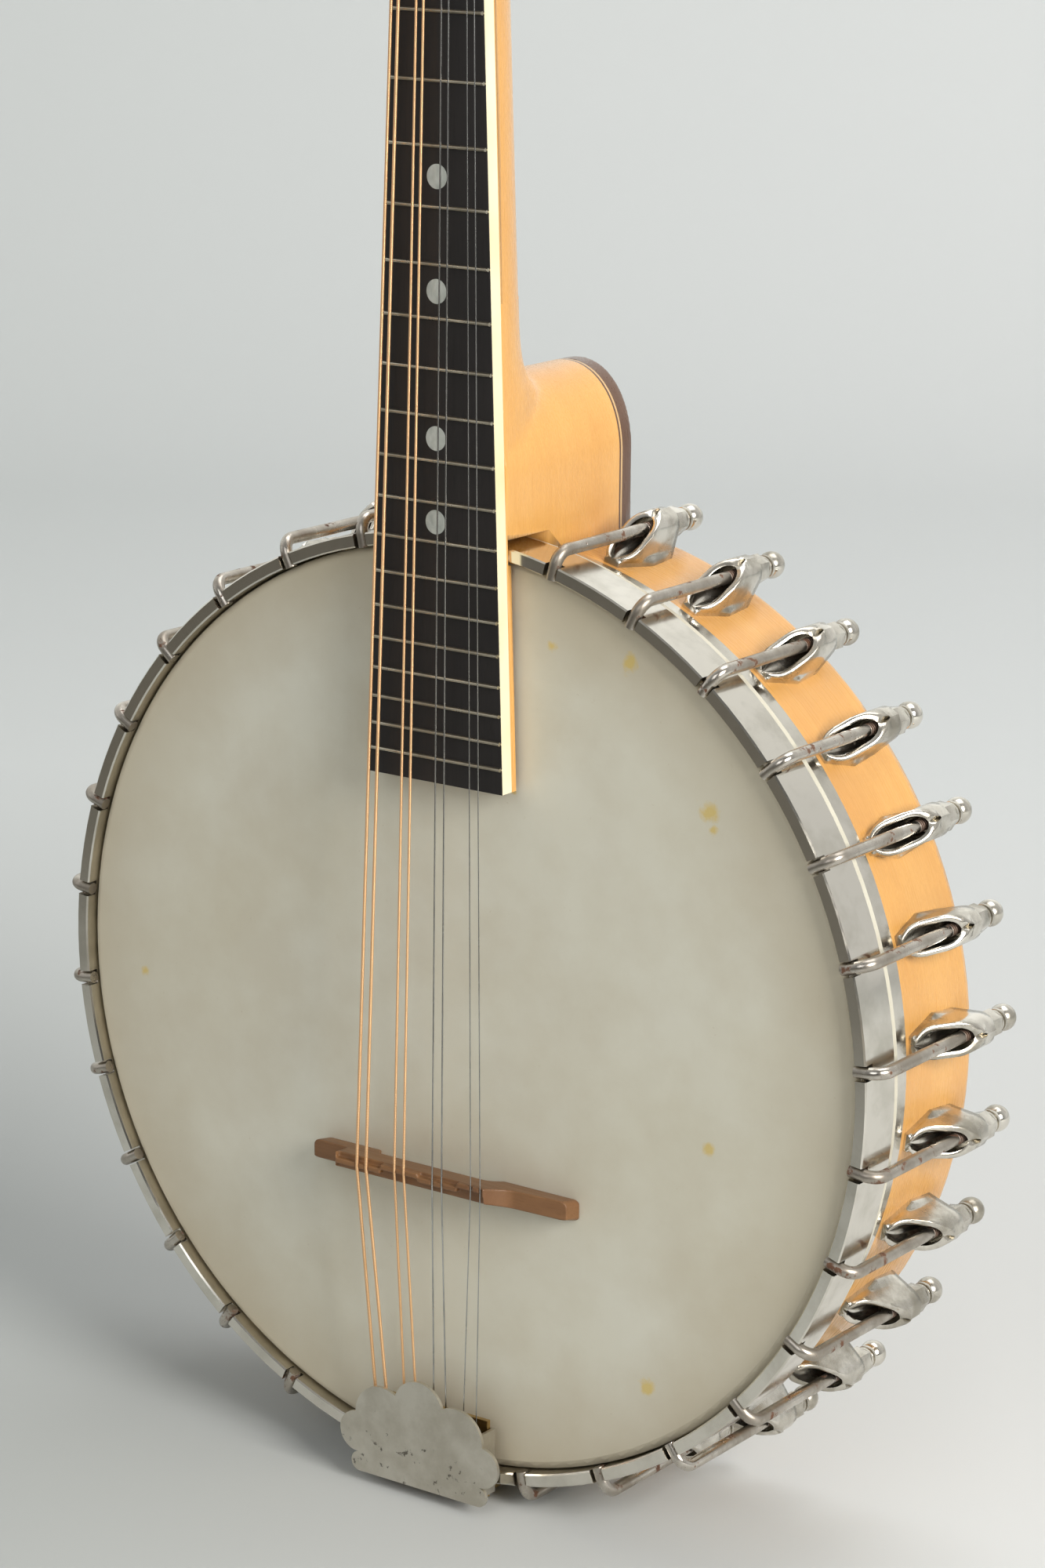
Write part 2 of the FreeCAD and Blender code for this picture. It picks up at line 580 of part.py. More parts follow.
def neck_sections():
    """Return the sections of the shaft and heel, from the rim up to the nut."""
    bottom = RIM_INNER_R - HEEL_CAP_T
    corner = HEEL_TOP_Z - HEEL_CORNER_Z
    sections = [(bottom, heel_depth(bottom), HEEL_HALF_WIDTH, HEEL_ROUNDNESS)]
    for k in range(HEEL_STEPS + 1):
        rise = math.sin(math.radians(90 * k / HEEL_STEPS))
        z = HEEL_CORNER_Z + corner * rise
        sections.append((z, heel_depth(z), HEEL_HALF_WIDTH - HEEL_NARROWING * rise ** 4, HEEL_ROUNDNESS))
    shelf = heel_depth(HEEL_TOP_Z) - NECK_DEPTH_HEEL
    for k in range(1, HEEL_STEPS + 1):
        turn = math.radians(90 * k / HEEL_STEPS)
        share = (1 - math.sin(turn)) ** 1.2
        back = SHAFT_FLAT_HALF + (HEEL_HALF_WIDTH - HEEL_NARROWING - SHAFT_FLAT_HALF) * share
        sections.append((HEEL_TOP_Z + SHELF_SWEEP * (1 - math.cos(turn)), NECK_DEPTH_HEEL + shelf * share,
                         back, HEEL_ROUNDNESS))
    top = NUT_Z + STRING_NUT_T
    sections.append((top, NECK_DEPTH_NUT, SHAFT_FLAT_HALF, HEEL_ROUNDNESS))
    return sections


def neck_blank():
    """Return the shaft and heel before the rim, hoop and cap are cut out of it."""
    return Part.makeLoft([neck_section(*each) for each in neck_sections()], True, True)


def heel_layer(skip, thickness):
    """Return the region that follows the heel's profile, some way under its outer face."""
    wide, low = 2 * HEEL_HALF_WIDTH, RIM_INNER_R
    corner = HEEL_TOP_Z - HEEL_CORNER_Z

    def profile(inset):
        back = HEEL_BACK_Y - inset
        depth, height = HEEL_CORNER_DEPTH - inset, corner - inset
        start = HEEL_BACK_Y - HEEL_CORNER_DEPTH
        arc = [Vector(-wide, start + depth * math.cos(math.radians(a)),
                      HEEL_CORNER_Z + height * math.sin(math.radians(a))) for a in range(0, 91, 10)]
        curve = Part.BSplineCurve()
        curve.interpolate(arc)
        front = Vector(-wide, start, HEEL_CORNER_Z)
        edges = [Part.LineSegment(Vector(-wide, back, low), arc[0]).toShape(), curve.toShape(),
                 Part.LineSegment(arc[-1], front).toShape(),
                 Part.LineSegment(front, Vector(-wide, start, low)).toShape(),
                 Part.LineSegment(Vector(-wide, start, low), Vector(-wide, back, low)).toShape()]
        return Part.Face(Part.Wire(edges)).extrude(Vector(2 * wide, 0, 0))

    return profile(skip).cut(profile(skip + thickness))


def heel_cuts():
    """Return what the pot takes out of the heel: the rim, and the slot for the hoop."""
    rim = Part.makeCylinder(RIM_OUTER_R, RIM_BACK_Y * 2, Vector(), AXIS_Y)
    slot_top = HOOP_OUTER_R + HEEL_SLOT_GAP
    slot = block(-HEEL_HALF_WIDTH * 2, HEEL_HALF_WIDTH * 2, NECK_TOP_Y + TONGUE_THICKNESS,
                 HEEL_SLOT_BACK_Y, 0, slot_top)
    return rim, slot


def neck():
    """Return the maple neck: tongue, heel, shaft and head stock in one piece."""
    blank = neck_blank()
    rim, slot = heel_cuts()
    heel = blank.cut(rim).cut(slot)
    heel = heel.cut(heel_layer(-2 * HEEL_CAP_T, 2 * HEEL_CAP_T + HEEL_CAP_T + 2 * HEEL_LINE_T))
    heel = heel.cut(dowel_bar(0, RIM_OUTER_R + DOWEL_TENON + DOWEL_GAP, DOWEL_GAP))
    tongue = full_board(neck_half, NECK_TOP_Y, TONGUE_THICKNESS)
    inside = Part.makeCylinder(HOOP_INNER_R - HEEL_SLOT_GAP, RIM_BACK_Y, -AXIS_Y * HEAD_Y, AXIS_Y)
    pad = full_board(neck_half, NECK_TOP_Y, TONGUE_THICKNESS + TONGUE_PAD).common(inside)
    whole = heel.fuse([tongue, pad, head_stock()]).removeSplitter()
    return whole.cut(nut_seat())


def full_board(half, y0, thickness):
    """Return a tapered board from its end on the head up to the nut, with half widths by height."""
    low, high = half(BOARD_END_Z), half(NUT_Z)
    board = face_of([Vector(-high, y0, NUT_Z), Vector(high, y0, NUT_Z),
                     Vector(low, y0, BOARD_END_Z), Vector(-low, y0, BOARD_END_Z)])
    return board.extrude(AXIS_Y * thickness)


def nut_seat():
    """Return the room for the nut in front of the neck."""
    return block(-STOCK_HALF, STOCK_HALF, STOCK_FRONT_Y * 2, NECK_TOP_Y, NUT_Z, STOCK_PIVOT.z)


def stock_outline(y):
    """Return the head stock's outline at a depth, before it is leant back."""
    base, half, top = neck_half(NUT_Z), STOCK_HALF, STOCK_TOP_HALF
    z0 = STOCK_PIVOT.z
    shoulder, tall = z0 + STOCK_SHOULDER, z0 + STOCK_LENGTH
    corner = tall - STOCK_CROWN

    def at(x, z):
        return Vector(x, y, z)

    return outline([
        at(-base, z0), at(base, z0), (at(base + (half - base) * 0.25, z0 + STOCK_SHOULDER * 0.6),
                                      at(half, shoulder)),
        at(top, corner), (at(top * 0.55, tall - STOCK_CROWN * 0.1), at(top * 0.2, corner + 3)),
        (at(0, tall), at(-top * 0.2, corner + 3)),
        (at(-top * 0.55, tall - STOCK_CROWN * 0.1), at(-top, corner)),
        at(-half, shoulder), (at(-base - (half - base) * 0.25, z0 + STOCK_SHOULDER * 0.6),
                              at(-base, z0))])


def post_places():
    """Return each post's side and distance along the head stock, left side first."""
    rows = [POST_FIRST + POST_PITCH * k for k in range(POSTS_PER_SIDE)]
    return [(-1, z) for z in rows] + [(1, z) for z in reversed(rows)]


def stock_holes(radius, y0, y1):
    """Return the bores for the eight posts, before they are leant back."""
    return compound([rod(radius, Vector(side * POST_X, y0, STOCK_PIVOT.z + z),
                         Vector(side * POST_X, y1, STOCK_PIVOT.z + z)) for side, z in post_places()])


def screw_places():
    """Return each plate screw's side and distance along the head stock."""
    rows = [POST_FIRST - PLATE_END + SCREW_HEAD_R * 1.5]
    rows += [POST_FIRST + POST_PITCH * k + SCREW_FROM_POST for k in range(POSTS_PER_SIDE)]
    return [(side, z) for side in (-1, 1) for z in rows]


def head_stock():
    """Return the head stock, leant back, with the posts' and screws' bores."""
    front = STOCK_FRONT_Y + VENEER_T
    stock = stock_outline(front).extrude(AXIS_Y * (STOCK_THICKNESS - VENEER_T))
    stock = stock.cut(stock_holes(POST_R + POST_GAP + BUSHING_WALL, front - 1, STOCK_BACK_Y + 1))
    pilots = [rod(SCREW_SHANK_R + THREAD_GAP, Vector(side * POST_X, STOCK_BACK_Y - SCREW_LENGTH,
                                                     STOCK_PIVOT.z + z),
                  Vector(side * POST_X, STOCK_BACK_Y + 1, STOCK_PIVOT.z + z))
              for side, z in screw_places()]
    return tipped(stock.cut(compound(pilots)))


def peghead_veneer():
    """Return the dark veneer on the head stock's front."""
    veneer = stock_outline(STOCK_FRONT_Y).extrude(AXIS_Y * VENEER_T)
    holes = stock_holes(POST_R + POST_GAP + BUSHING_WALL, STOCK_FRONT_Y - 1,
                        STOCK_FRONT_Y + VENEER_T + 1)
    return tipped(veneer.cut(holes)).cut(nut_seat())


def heel_piece(skip, thickness):
    """Return one layer of the heel's laminated cap."""
    rim, slot = heel_cuts()
    return neck_blank().common(heel_layer(skip, thickness)).cut(rim).cut(slot)


def fret_z(number):
    """Return a fret's place by equal temperament."""
    return NUT_Z - SCALE_LENGTH * (1 - 2 ** (-number / 12))


def fingerboard():
    """Return the ebony board, with rebates for its bindings, fret slots and dot recesses."""
    board = full_board(core_half, BOARD_Y, BOARD_THICKNESS)
    board = board.fuse(full_board(neck_half, BOARD_Y, BINDING_COVER)).removeSplitter()
    wide = neck_half(BOARD_END_Z)
    slots = [block(-wide, wide, BOARD_Y - 1, BOARD_Y + FRET_TANG_DEPTH,
                   fret_z(n) - FRET_TANG_W / 2, fret_z(n) + FRET_TANG_W / 2)
             for n in range(1, FRET_COUNT + 1)]
    dots = [dot(n, -1) for n in DOT_FRETS]
    return board.cut(compound(slots)).cut(compound(dots))


def side_binding():
    """Return the two strips on the fingerboard's edges, under its front skin of ebony."""
    y0, height = BOARD_Y + BINDING_COVER, BOARD_THICKNESS - BINDING_COVER
    return full_board(neck_half, y0, height).cut(full_board(core_half, y0, height))


def frets():
    """Return the frets, each a flat bar on a thin tang."""
    bars = []
    for n in range(1, FRET_COUNT + 1):
        z = fret_z(n)
        half, tang_half = neck_half(z) - FRET_END_INSET, core_half(z) - FRET_END_INSET
        bar = block(-half, half, BOARD_Y - FRET_HEIGHT, BOARD_Y, z - FRET_WIDTH / 2, z + FRET_WIDTH / 2)
        tang = block(-tang_half, tang_half, BOARD_Y, BOARD_Y + FRET_TANG_DEPTH,
                     z - FRET_TANG_W / 2, z + FRET_TANG_W / 2)
        bars.append(bar.fuse(tang).removeSplitter())
    return compound(bars)


def dot(number, proud=0):
    """Return one position dot below a fret, or with proud the cutter for its recess."""
    z = (fret_z(number) + fret_z(number - 1)) / 2
    return rod(DOT_R, Vector(0, BOARD_Y + proud, z), Vector(0, BOARD_Y + DOT_DEPTH, z))


def position_dots():
    """Return the pearl dots let into the board."""
    return compound([dot(n) for n in DOT_FRETS])


def string_nut():
    """Return the nut, with a slot for each string that falls away to the head stock."""
    top, half = STRING_NUT_Y - STRING_NUT_EXTRA, neck_half(NUT_Z)
    mid, back = NUT_Z + STRING_NUT_T / 2, NUT_Z + STRING_NUT_T
    profile = face_of([Vector(-half, NECK_TOP_Y, NUT_Z), Vector(-half, top, NUT_Z),
                       Vector(-half, top, mid), Vector(-half, top + 1, back),
                       Vector(-half, NECK_TOP_Y, back)])
    nut = profile.extrude(Vector(2 * half, 0, 0))
    cuts = []
    for k, radius in enumerate(STRING_R):
        x, gap = string_x(k, COURSE_AT_NUT, PAIR_AT_NUT), radius + NUT_SLOT_GAP
        floor, wide = STRING_NUT_Y + radius + NUT_SLOT_GAP / 2, gap + NUT_SLOT_FLARE
        cuts.append(block(x - gap, x + gap, top - 1, floor, NUT_Z - 1, mid))
        cuts.append(block(x - wide, x + wide, top - 1, floor + NUT_SLOT_FALL, mid, back + 1))
    return nut.cut(compound(cuts))


# ---------------------------------------------------------------- inside the pot
def dowel_stick():
    """Return the bar that runs from the heel across the pot to the tail."""
    bar = dowel_bar(-RIM_OUTER_R, RIM_OUTER_R + DOWEL_TENON)
    bar = bar.makeChamfer(DOWEL_EDGE, [e for e in bar.Edges if e.Length > RIM_OUTER_R])
    keep = Part.makeCylinder(RIM_INNER_R, RIM_BACK_Y * 2, Vector(), AXIS_Y)
    keep = keep.fuse(dowel_bar(0, RIM_OUTER_R * 2, 1))
    bar = bar.common(keep)
    bar = bar.cut(rod(BRACE_PIN_R + THREAD_GAP, Vector(-DOWEL_WIDTH, DOWEL_Y, brace_pin_z()),
                      Vector(DOWEL_WIDTH, DOWEL_Y, brace_pin_z())))
    return bar.cut(rod(END_BOLT_R + THREAD_GAP, Vector(0, DOWEL_Y, -RIM_OUTER_R * 1.5),
                       Vector(0, DOWEL_Y, END_BOLT_GRIP - RIM_INNER_R + THREAD_GAP)))


def brace_plate_z():
    """Return the height at which the flat brace plate meets the rim's hollow inside."""
    return math.sqrt(RIM_INNER_R ** 2 - BRACE_HALF_WIDTH ** 2)


def brace_pin_z():
    """Return the height of the pin that draws the brace plate to the rim."""
    return brace_plate_z() - BRACE_T - BRACE_PIN_R


def brace_plate():
    """Return the plate between the rim and the pin, with the dowel through it."""
    plate = block(-BRACE_HALF_WIDTH, BRACE_HALF_WIDTH, DOWEL_Y - BRACE_HALF_HEIGHT,
                  DOWEL_Y + BRACE_HALF_HEIGHT, brace_plate_z() - BRACE_T, brace_plate_z())
    return plate.cut(dowel_bar(0, RIM_OUTER_R, DOWEL_GAP))


def brace_pin():
    """Return the steel pin through the dowel."""
    half = Vector(BRACE_PIN_LENGTH / 2, 0, 0)
    centre = Vector(0, DOWEL_Y, brace_pin_z())
    return rod(BRACE_PIN_R, centre - half, centre + half)


# ---------------------------------------------------------------- tailpiece
def tailpiece_base():
    """Return the bent plate: a face that carries the pegs and a flange back along the rim."""
    r0, r1 = TAIL_FLANGE_R, TAIL_FLANGE_R + TAIL_METAL
    plate = block(TAIL_X - TAIL_HALF_WIDTH, TAIL_X + TAIL_HALF_WIDTH, TAIL_PLATE_Y,
                  TAIL_PLATE_Y + TAIL_METAL, -r1, TAIL_REACH - HOOP_OUTER_R)
    flange = block(TAIL_X - TAIL_FLANGE_HALF, TAIL_X + TAIL_FLANGE_HALF, TAIL_PLATE_Y,
                   TAIL_FLANGE_BACK_Y, -r1, -r0)
    base = plate.fuse(flange).removeSplitter()
    return base.cut(rod(END_BOLT_R + HOLE_GAP, Vector(0, DOWEL_Y, -r1 - 1),
                        Vector(0, DOWEL_Y, -r0 + 1)))


def peg_place(k):
    """Return the foot of a string's peg."""
    return Vector(TAIL_X + string_x(k, COURSE_AT_TAIL, PAIR_AT_TAIL), TAIL_PLATE_Y,
                  PEG_REACH[k % 2] - HOOP_OUTER_R)


def string_pegs():
    """Return the eight pegs riveted to the base."""
    return compound([rod(PEG_R, peg_place(k), peg_place(k) - AXIS_Y * PEG_TALL)
                     for k in range(STRINGS)])


def cover_outline(y):
    """Return the cover's lobed outline: three lobes in front, one each side, small rear corners."""
    def at(x, reach):
        return Vector(TAIL_X + x, y, reach - HOOP_OUTER_R)

    def lobes(side):
        return [at(8.1 * side, 23.5), at(18.0 * side, 23.2), at(22.0 * side, 15.6),
                at(27.4 * side, 9.9), at(20.9 * side, 3.8), at(23.4 * side, 0.8),
                at(20.2 * side, -COVER_REAR)]

    right, left = lobes(1), lobes(-1)[::-1]
    steps = [right[0], (right[1], right[2]), (right[3], right[4]), (right[5], right[6]), left[0],
             (left[1], left[2]), (left[3], left[4]), (left[5], left[6]), (at(0, 29.5), right[0])]
    return outline(steps)


def tailpiece_cover():
    """Return the sliding cover: a lobed plate with two rails that hold the base's edges."""
    plate = cover_outline(COVER_Y).extrude(AXIS_Y * COVER_T)
    inner = TAIL_HALF_WIDTH + COVER_GAP
    outer = inner + COVER_WALL
    lip_y0 = TAIL_PLATE_Y + TAIL_METAL + COVER_GAP
    lip_y1 = lip_y0 + COVER_LIP_T
    z0, z1 = -TAIL_FLANGE_R, COVER_RAIL_REACH - HOOP_OUTER_R
    rail = block(inner, outer, COVER_Y + COVER_T / 2, lip_y1, z0, z1)
    rail = rail.fuse(block(outer - COVER_LIP, outer, lip_y0, lip_y1, z0, z1))
    rails = rail.fuse(mirror_x(rail))
    rails.translate(AXIS_X * TAIL_X)
    return plate.fuse(rails).removeSplitter()


def end_bolt():
    """Return the bolt that holds the tailpiece and the dowel's end to the rim."""
    outside = TAIL_FLANGE_R + TAIL_METAL
    head = rod(END_BOLT_HEAD_R, Vector(0, DOWEL_Y, -outside - END_BOLT_HEAD_T),
               Vector(0, DOWEL_Y, -outside))
    return head.fuse(rod(END_BOLT_R, Vector(0, DOWEL_Y, -outside - END_BOLT_HEAD_T / 2),
                         Vector(0, DOWEL_Y, END_BOLT_GRIP - RIM_INNER_R)))


def end_spacer():
    """Return the collar between the rim and the tailpiece's flange."""
    collar = rod(END_SPACER_R, Vector(0, DOWEL_Y, -TAIL_FLANGE_R), Vector(0, DOWEL_Y, -RIM_INNER_R))
    collar = collar.cut(Part.makeCylinder(RIM_OUTER_R, RIM_BACK_Y, Vector(), AXIS_Y))
    return collar.cut(rod(END_BOLT_R + HOLE_GAP, Vector(0, DOWEL_Y, -TAIL_FLANGE_R - 1),
                          Vector(0, DOWEL_Y, -RIM_INNER_R)))


# ---------------------------------------------------------------- bridge
def string_x(k, course, pair):
    """Return a string's place across the neck, from its course's and pair's spacing."""
    last = STRINGS / 2 - 1
    return (k // 2 - last / 2) * course + (k % 2 - 0.5) * pair


def bridge():
    """Return the wooden bridge: two feet, falling wings and a crown stepped for each course."""
    skin, crown = HEAD_Y, STRING_BRIDGE_Y - BRIDGE_CROWN_EXTRA
    half, top = BRIDGE_HALF, BRIDGE_CROWN_HALF
    foot = [BRIDGE_Z + edge for edge in BRIDGE_BASE]
    ridge_edges = [BRIDGE_Z + edge for edge in BRIDGE_TOP]
    z0, z1 = foot[0], ridge_edges[1]

    def at(x, y):
        return Vector(x, y, z0)

    tip = skin - BRIDGE_TIP_HEIGHT
    hollow = top + (half - top) * 0.42
    sag = crown + (tip - crown) * 0.62
    front = outline([
        at(-half, skin), at(BRIDGE_ARCH[0], skin),
        at(BRIDGE_ARCH[0] + BRIDGE_ARCH_ROUND, skin - BRIDGE_ARCH_HEIGHT),
        at(BRIDGE_ARCH[1] - BRIDGE_ARCH_ROUND, skin - BRIDGE_ARCH_HEIGHT),
        at(BRIDGE_ARCH[1], skin), at(half, skin), at(half, tip),
        (at(hollow, sag), at(top, crown)), at(-top, crown), (at(-hollow, sag), at(-half, tip)),
        at(-half, skin)])
    body = front.extrude(Vector(0, 0, z1 - z0))
    side = face_of([Vector(-half - 1, skin, foot[0]), Vector(-half - 1, skin, foot[1]),
                    Vector(-half - 1, crown, ridge_edges[1]), Vector(-half - 1, crown, ridge_edges[0])])
    body = body.common(side.extrude(Vector(2 * half + 2, 0, 0)))
    last = STRINGS / 2 - 1
    for course, offset in enumerate(COURSE_OFFSET):
        x0 = (course - last / 2 - 0.5) * COURSE_AT_BRIDGE
        x1 = x0 + COURSE_AT_BRIDGE
        x0 = x0 if course > 0 else -half
        x1 = x1 if course < last else half
        low, high = crown - 1, crown + BRIDGE_STEP_DEPTH
        ridge = BRIDGE_Z + offset
        body = body.cut(block(x0, x1, low, high, ridge + BRIDGE_STEP_T / 2, z1 + 1))
        body = body.cut(block(x0, x1, low, high, z0, ridge - BRIDGE_STEP_T / 2))
    for k, radius in enumerate(STRING_R):
        x, gap = string_x(k, COURSE_AT_BRIDGE, PAIR_AT_BRIDGE), radius + BRIDGE_SLOT_GAP
        body = body.cut(block(x - gap, x + gap, crown - 1,
                              STRING_BRIDGE_Y + radius + BRIDGE_SLOT_EXTRA, z0 - 1, z1 + 1))
    return body.removeSplitter()


# ---------------------------------------------------------------- strings
def post_side(k):
    """Return where a string meets its post, in the head stock's frame."""
    side, z = post_places()[k]
    x = side * (POST_X - POST_R - STRING_R[k] - STRING_POST_GAP)
    return Vector(x, STRING_POST_Y, STOCK_PIVOT.z + z)


def bent_path(points):
    """Return straight runs joined by tangent arcs."""
    edges, here = [], points[0]
    for before, corner, after in zip(points, points[1:], points[2:]):
        to_start, to_end = (before - corner).normalize(), (after - corner).normalize()
        half_turn = (math.pi - to_start.getAngle(to_end)) / 2
        reach = STRING_BEND_R * math.tan(half_turn)
        start, end = corner + to_start * reach, corner + to_end * reach
        inward = (to_start + to_end).normalize()
        middle = corner + inward * (STRING_BEND_R / math.cos(half_turn) - STRING_BEND_R)
        edges.append(Part.LineSegment(here, start).toShape())
        edges.append(Part.Arc(start, middle, end).toShape())
        here = end
    edges.append(Part.LineSegment(here, points[-1]).toShape())
    return Part.Wire(edges)


def string(k):
    """Return one string: a loop on its peg, over the bridge and the nut, up to its post."""
    radius, peg = STRING_R[k], peg_place(k)
    loop_r = PEG_R + LOOP_GAP + radius
    centre = Vector(peg.x, PEG_STRING_Y, peg.z)
    start = centre + AXIS_Z * loop_r
    over_bridge = Vector(string_x(k, COURSE_AT_BRIDGE, PAIR_AT_BRIDGE), STRING_BRIDGE_Y,
                         BRIDGE_Z + COURSE_OFFSET[k // 2])
    over_nut = Vector(string_x(k, COURSE_AT_NUT, PAIR_AT_NUT), STRING_NUT_Y,
                      NUT_Z + STRING_NUT_T / 2)
    path = bent_path([start, over_bridge, over_nut, tipped_point(post_side(k))])
    direction = (over_bridge - start).normalize()
    section = Part.Wire(Part.makeCircle(radius, start, direction))
    wire = path.makePipeShell([section], True, False)
    loop = Part.makeTorus(loop_r, radius, centre, AXIS_Y)
    return wire.fuse(loop)


# ---------------------------------------------------------------- tuning machines
def tuner_plate(side):
    """Return one plate with four pairs of lugs, before it is leant back."""
    z0 = STOCK_PIVOT.z + POST_FIRST - PLATE_END
    z1 = STOCK_PIVOT.z + POST_FIRST + POST_PITCH * (POSTS_PER_SIDE - 1) + SCREW_FROM_POST
    z1 += SCREW_HEAD_R * 1.5
    plate = block(POST_X - PLATE_HALF_WIDTH, POST_X + PLATE_HALF_WIDTH, STOCK_BACK_Y, PLATE_BACK_Y,
                  z0, z1)
    for row in range(POSTS_PER_SIDE):
        z = STOCK_PIVOT.z + POST_FIRST + POST_PITCH * row
        worm_z = z + WORM_OFFSET
        for x0 in (LUG_IN - LUG_T, LUG_OUT):
            plate = plate.fuse(block(x0, x0 + LUG_T, STOCK_BACK_Y, WORM_Y + LUG_ABOVE,
                                     worm_z - LUG_HALF_WIDTH, worm_z + LUG_HALF_WIDTH))
        plate = plate.cut(rod(KEY_SHAFT_R + POST_GAP, Vector(0, WORM_Y, worm_z),
                              Vector(STOCK_HALF * 2, WORM_Y, worm_z)))
        plate = plate.cut(rod(POST_R + POST_GAP, Vector(POST_X, STOCK_BACK_Y - 1, z),
                              Vector(POST_X, PLATE_BACK_Y + 1, z)))
    for _, z in screw_places()[:POSTS_PER_SIDE + 1]:
        plate = plate.cut(rod(SCREW_SHANK_R + HOLE_GAP,
                              Vector(POST_X, STOCK_BACK_Y - 1, STOCK_PIVOT.z + z),
                              Vector(POST_X, PLATE_BACK_Y + 1, STOCK_PIVOT.z + z)))
    plate = plate.removeSplitter()
    return tipped(plate if side > 0 else mirror_x(plate))


def plate_screws():
    """Return the wood screws that hold the two plates."""
    screws = []
    for side, z in screw_places():
        foot = Vector(side * POST_X, STOCK_BACK_Y - SCREW_LENGTH + THREAD_GAP, STOCK_PIVOT.z + z)
        seat = Vector(foot.x, PLATE_BACK_Y, foot.z)
        top = seat + AXIS_Y * SCREW_HEAD_T
        screws.append(tipped(rod(SCREW_SHANK_R, foot, seat + AXIS_Y * SCREW_HEAD_T / 2).fuse(
            rod(SCREW_HEAD_R, seat, top))))
    return compound(screws)


def post_bushings():
    """Return the flanged bushings that guide the posts."""
    bushings = []
    for side, z in post_places():
        front = Vector(side * POST_X, STOCK_FRONT_Y, STOCK_PIVOT.z + z)
        back = Vector(front.x, STOCK_BACK_Y, front.z)
        tube = rod(POST_R + POST_GAP + BUSHING_WALL, front - AXIS_Y * BUSHING_FLANGE_T, back)
        flange = rod(BUSHING_FLANGE_R, front - AXIS_Y * BUSHING_FLANGE_T, front)
        bore = rod(POST_R + POST_GAP, front - AXIS_Y * STOCK_THICKNESS, back + AXIS_Y)
        bushings.append(tipped(tube.fuse(flange).cut(bore).removeSplitter()))
    return compound(bushings)


def gear_blank():
    """Return the toothed wheel about the Y axis, front face at the origin."""
    points = []
    pitch = 2 * math.pi / GEAR_TEETH
    for tooth in range(GEAR_TEETH):
        for share, radius in ((-0.30, GEAR_ROOT_R), (-0.16, GEAR_TIP_R), (0.16, GEAR_TIP_R),
                              (0.30, GEAR_ROOT_R)):
            turn = pitch * (tooth + share)
            points.append(Vector(radius * math.sin(turn), 0, radius * math.cos(turn)))
    wheel = face_of(points).extrude(AXIS_Y * GEAR_T)
    return wheel.cut(rod(GEAR_HUB_R, -AXIS_Y, AXIS_Y * (GEAR_T + 1)))


def string_post(k):
    """Return one string post with its gear and the gear's screw."""
    side, z = post_places()[k]
    at = Vector(side * POST_X, 0, STOCK_PIVOT.z + z)
    gear_y = WORM_Y - GEAR_T / 2
    shank = rod(POST_R, at + AXIS_Y * (STOCK_FRONT_Y - POST_TALL), at + AXIS_Y * gear_y)
    hub = rod(GEAR_HUB_R, at + AXIS_Y * (gear_y - 1), at + AXIS_Y * (gear_y + GEAR_T))
    hole_y = STOCK_FRONT_Y - POST_TALL * 0.75
    hole = rod(POST_HOLE_R, at + AXIS_Y * hole_y - AXIS_X * 2 * POST_R,
               at + AXIS_Y * hole_y + AXIS_X * 2 * POST_R)
    post = shank.fuse(hub).cut(hole).removeSplitter()
    gear = gear_blank()
    gear.translate(at + AXIS_Y * gear_y)
    screw_y = gear_y + GEAR_T
    screw = rod(GEAR_SCREW_R, at + AXIS_Y * screw_y, at + AXIS_Y * (screw_y + GEAR_SCREW_T))
    slot = block(at.x - GEAR_SCREW_R, at.x + GEAR_SCREW_R, screw_y + GEAR_SCREW_T / 2,
                 screw_y + GEAR_SCREW_T * 2, at.z - GEAR_SCREW_T / 4, at.z + GEAR_SCREW_T / 4)
    return tipped(compound([post, gear, screw.cut(slot)]))


def worm_profile(x0):
    """Return the half section of a worm that starts at x0, in the XY plane."""
    step = WORM_LENGTH / (2 * WORM_RIDGES)
    points = [Vector(x0, 0, 0)]
    for ridge in range(WORM_RIDGES):
        base = x0 + 2 * step * ridge
        points += [Vector(base, WORM_ROOT_R, 0), Vector(base + step * 0.5, WORM_ROOT_R, 0),
                   Vector(base + step * 0.8, WORM_R, 0), Vector(base + step * 1.2, WORM_R, 0),
                   Vector(base + step * 1.5, WORM_ROOT_R, 0)]
    points += [Vector(x0 + WORM_LENGTH, WORM_ROOT_R, 0), Vector(x0 + WORM_LENGTH, 0, 0)]
    return face_of(points)


def tuning_key(k):
    """Return one worm shaft and its button."""
    side, z = post_places()[k]
    at = Vector(0, WORM_Y, STOCK_PIVOT.z + z + WORM_OFFSET)
    worm = worm_profile(POST_X - WORM_LENGTH / 2).revolve(Vector(), AXIS_X, 360)
    button_mid = BUTTON_X + BUTTON_LENGTH / 2
    shaft = rod(KEY_SHAFT_R, AXIS_X * (LUG_IN - LUG_T), AXIS_X * button_mid)
    shaft = shaft.fuse(worm)
    button = Part.makeCylinder(BUTTON_HALF_WIDTH, 2 * BUTTON_HALF_T, Vector(0, -BUTTON_HALF_T, 0), AXIS_Y)
    squash = FreeCAD.Matrix()
    squash.scale(BUTTON_LENGTH / 2 / BUTTON_HALF_WIDTH, 1, 1)
    button = button.transformGeometry(squash)
    button.translate(AXIS_X * button_mid)
    button = button.cut(rod(KEY_SHAFT_R, AXIS_X * (BUTTON_X - 2), AXIS_X * button_mid))
    key = compound([shaft, button])
    if side < 0:
        key = mirror_x(key)
    key.translate(at)
    return tipped(key)


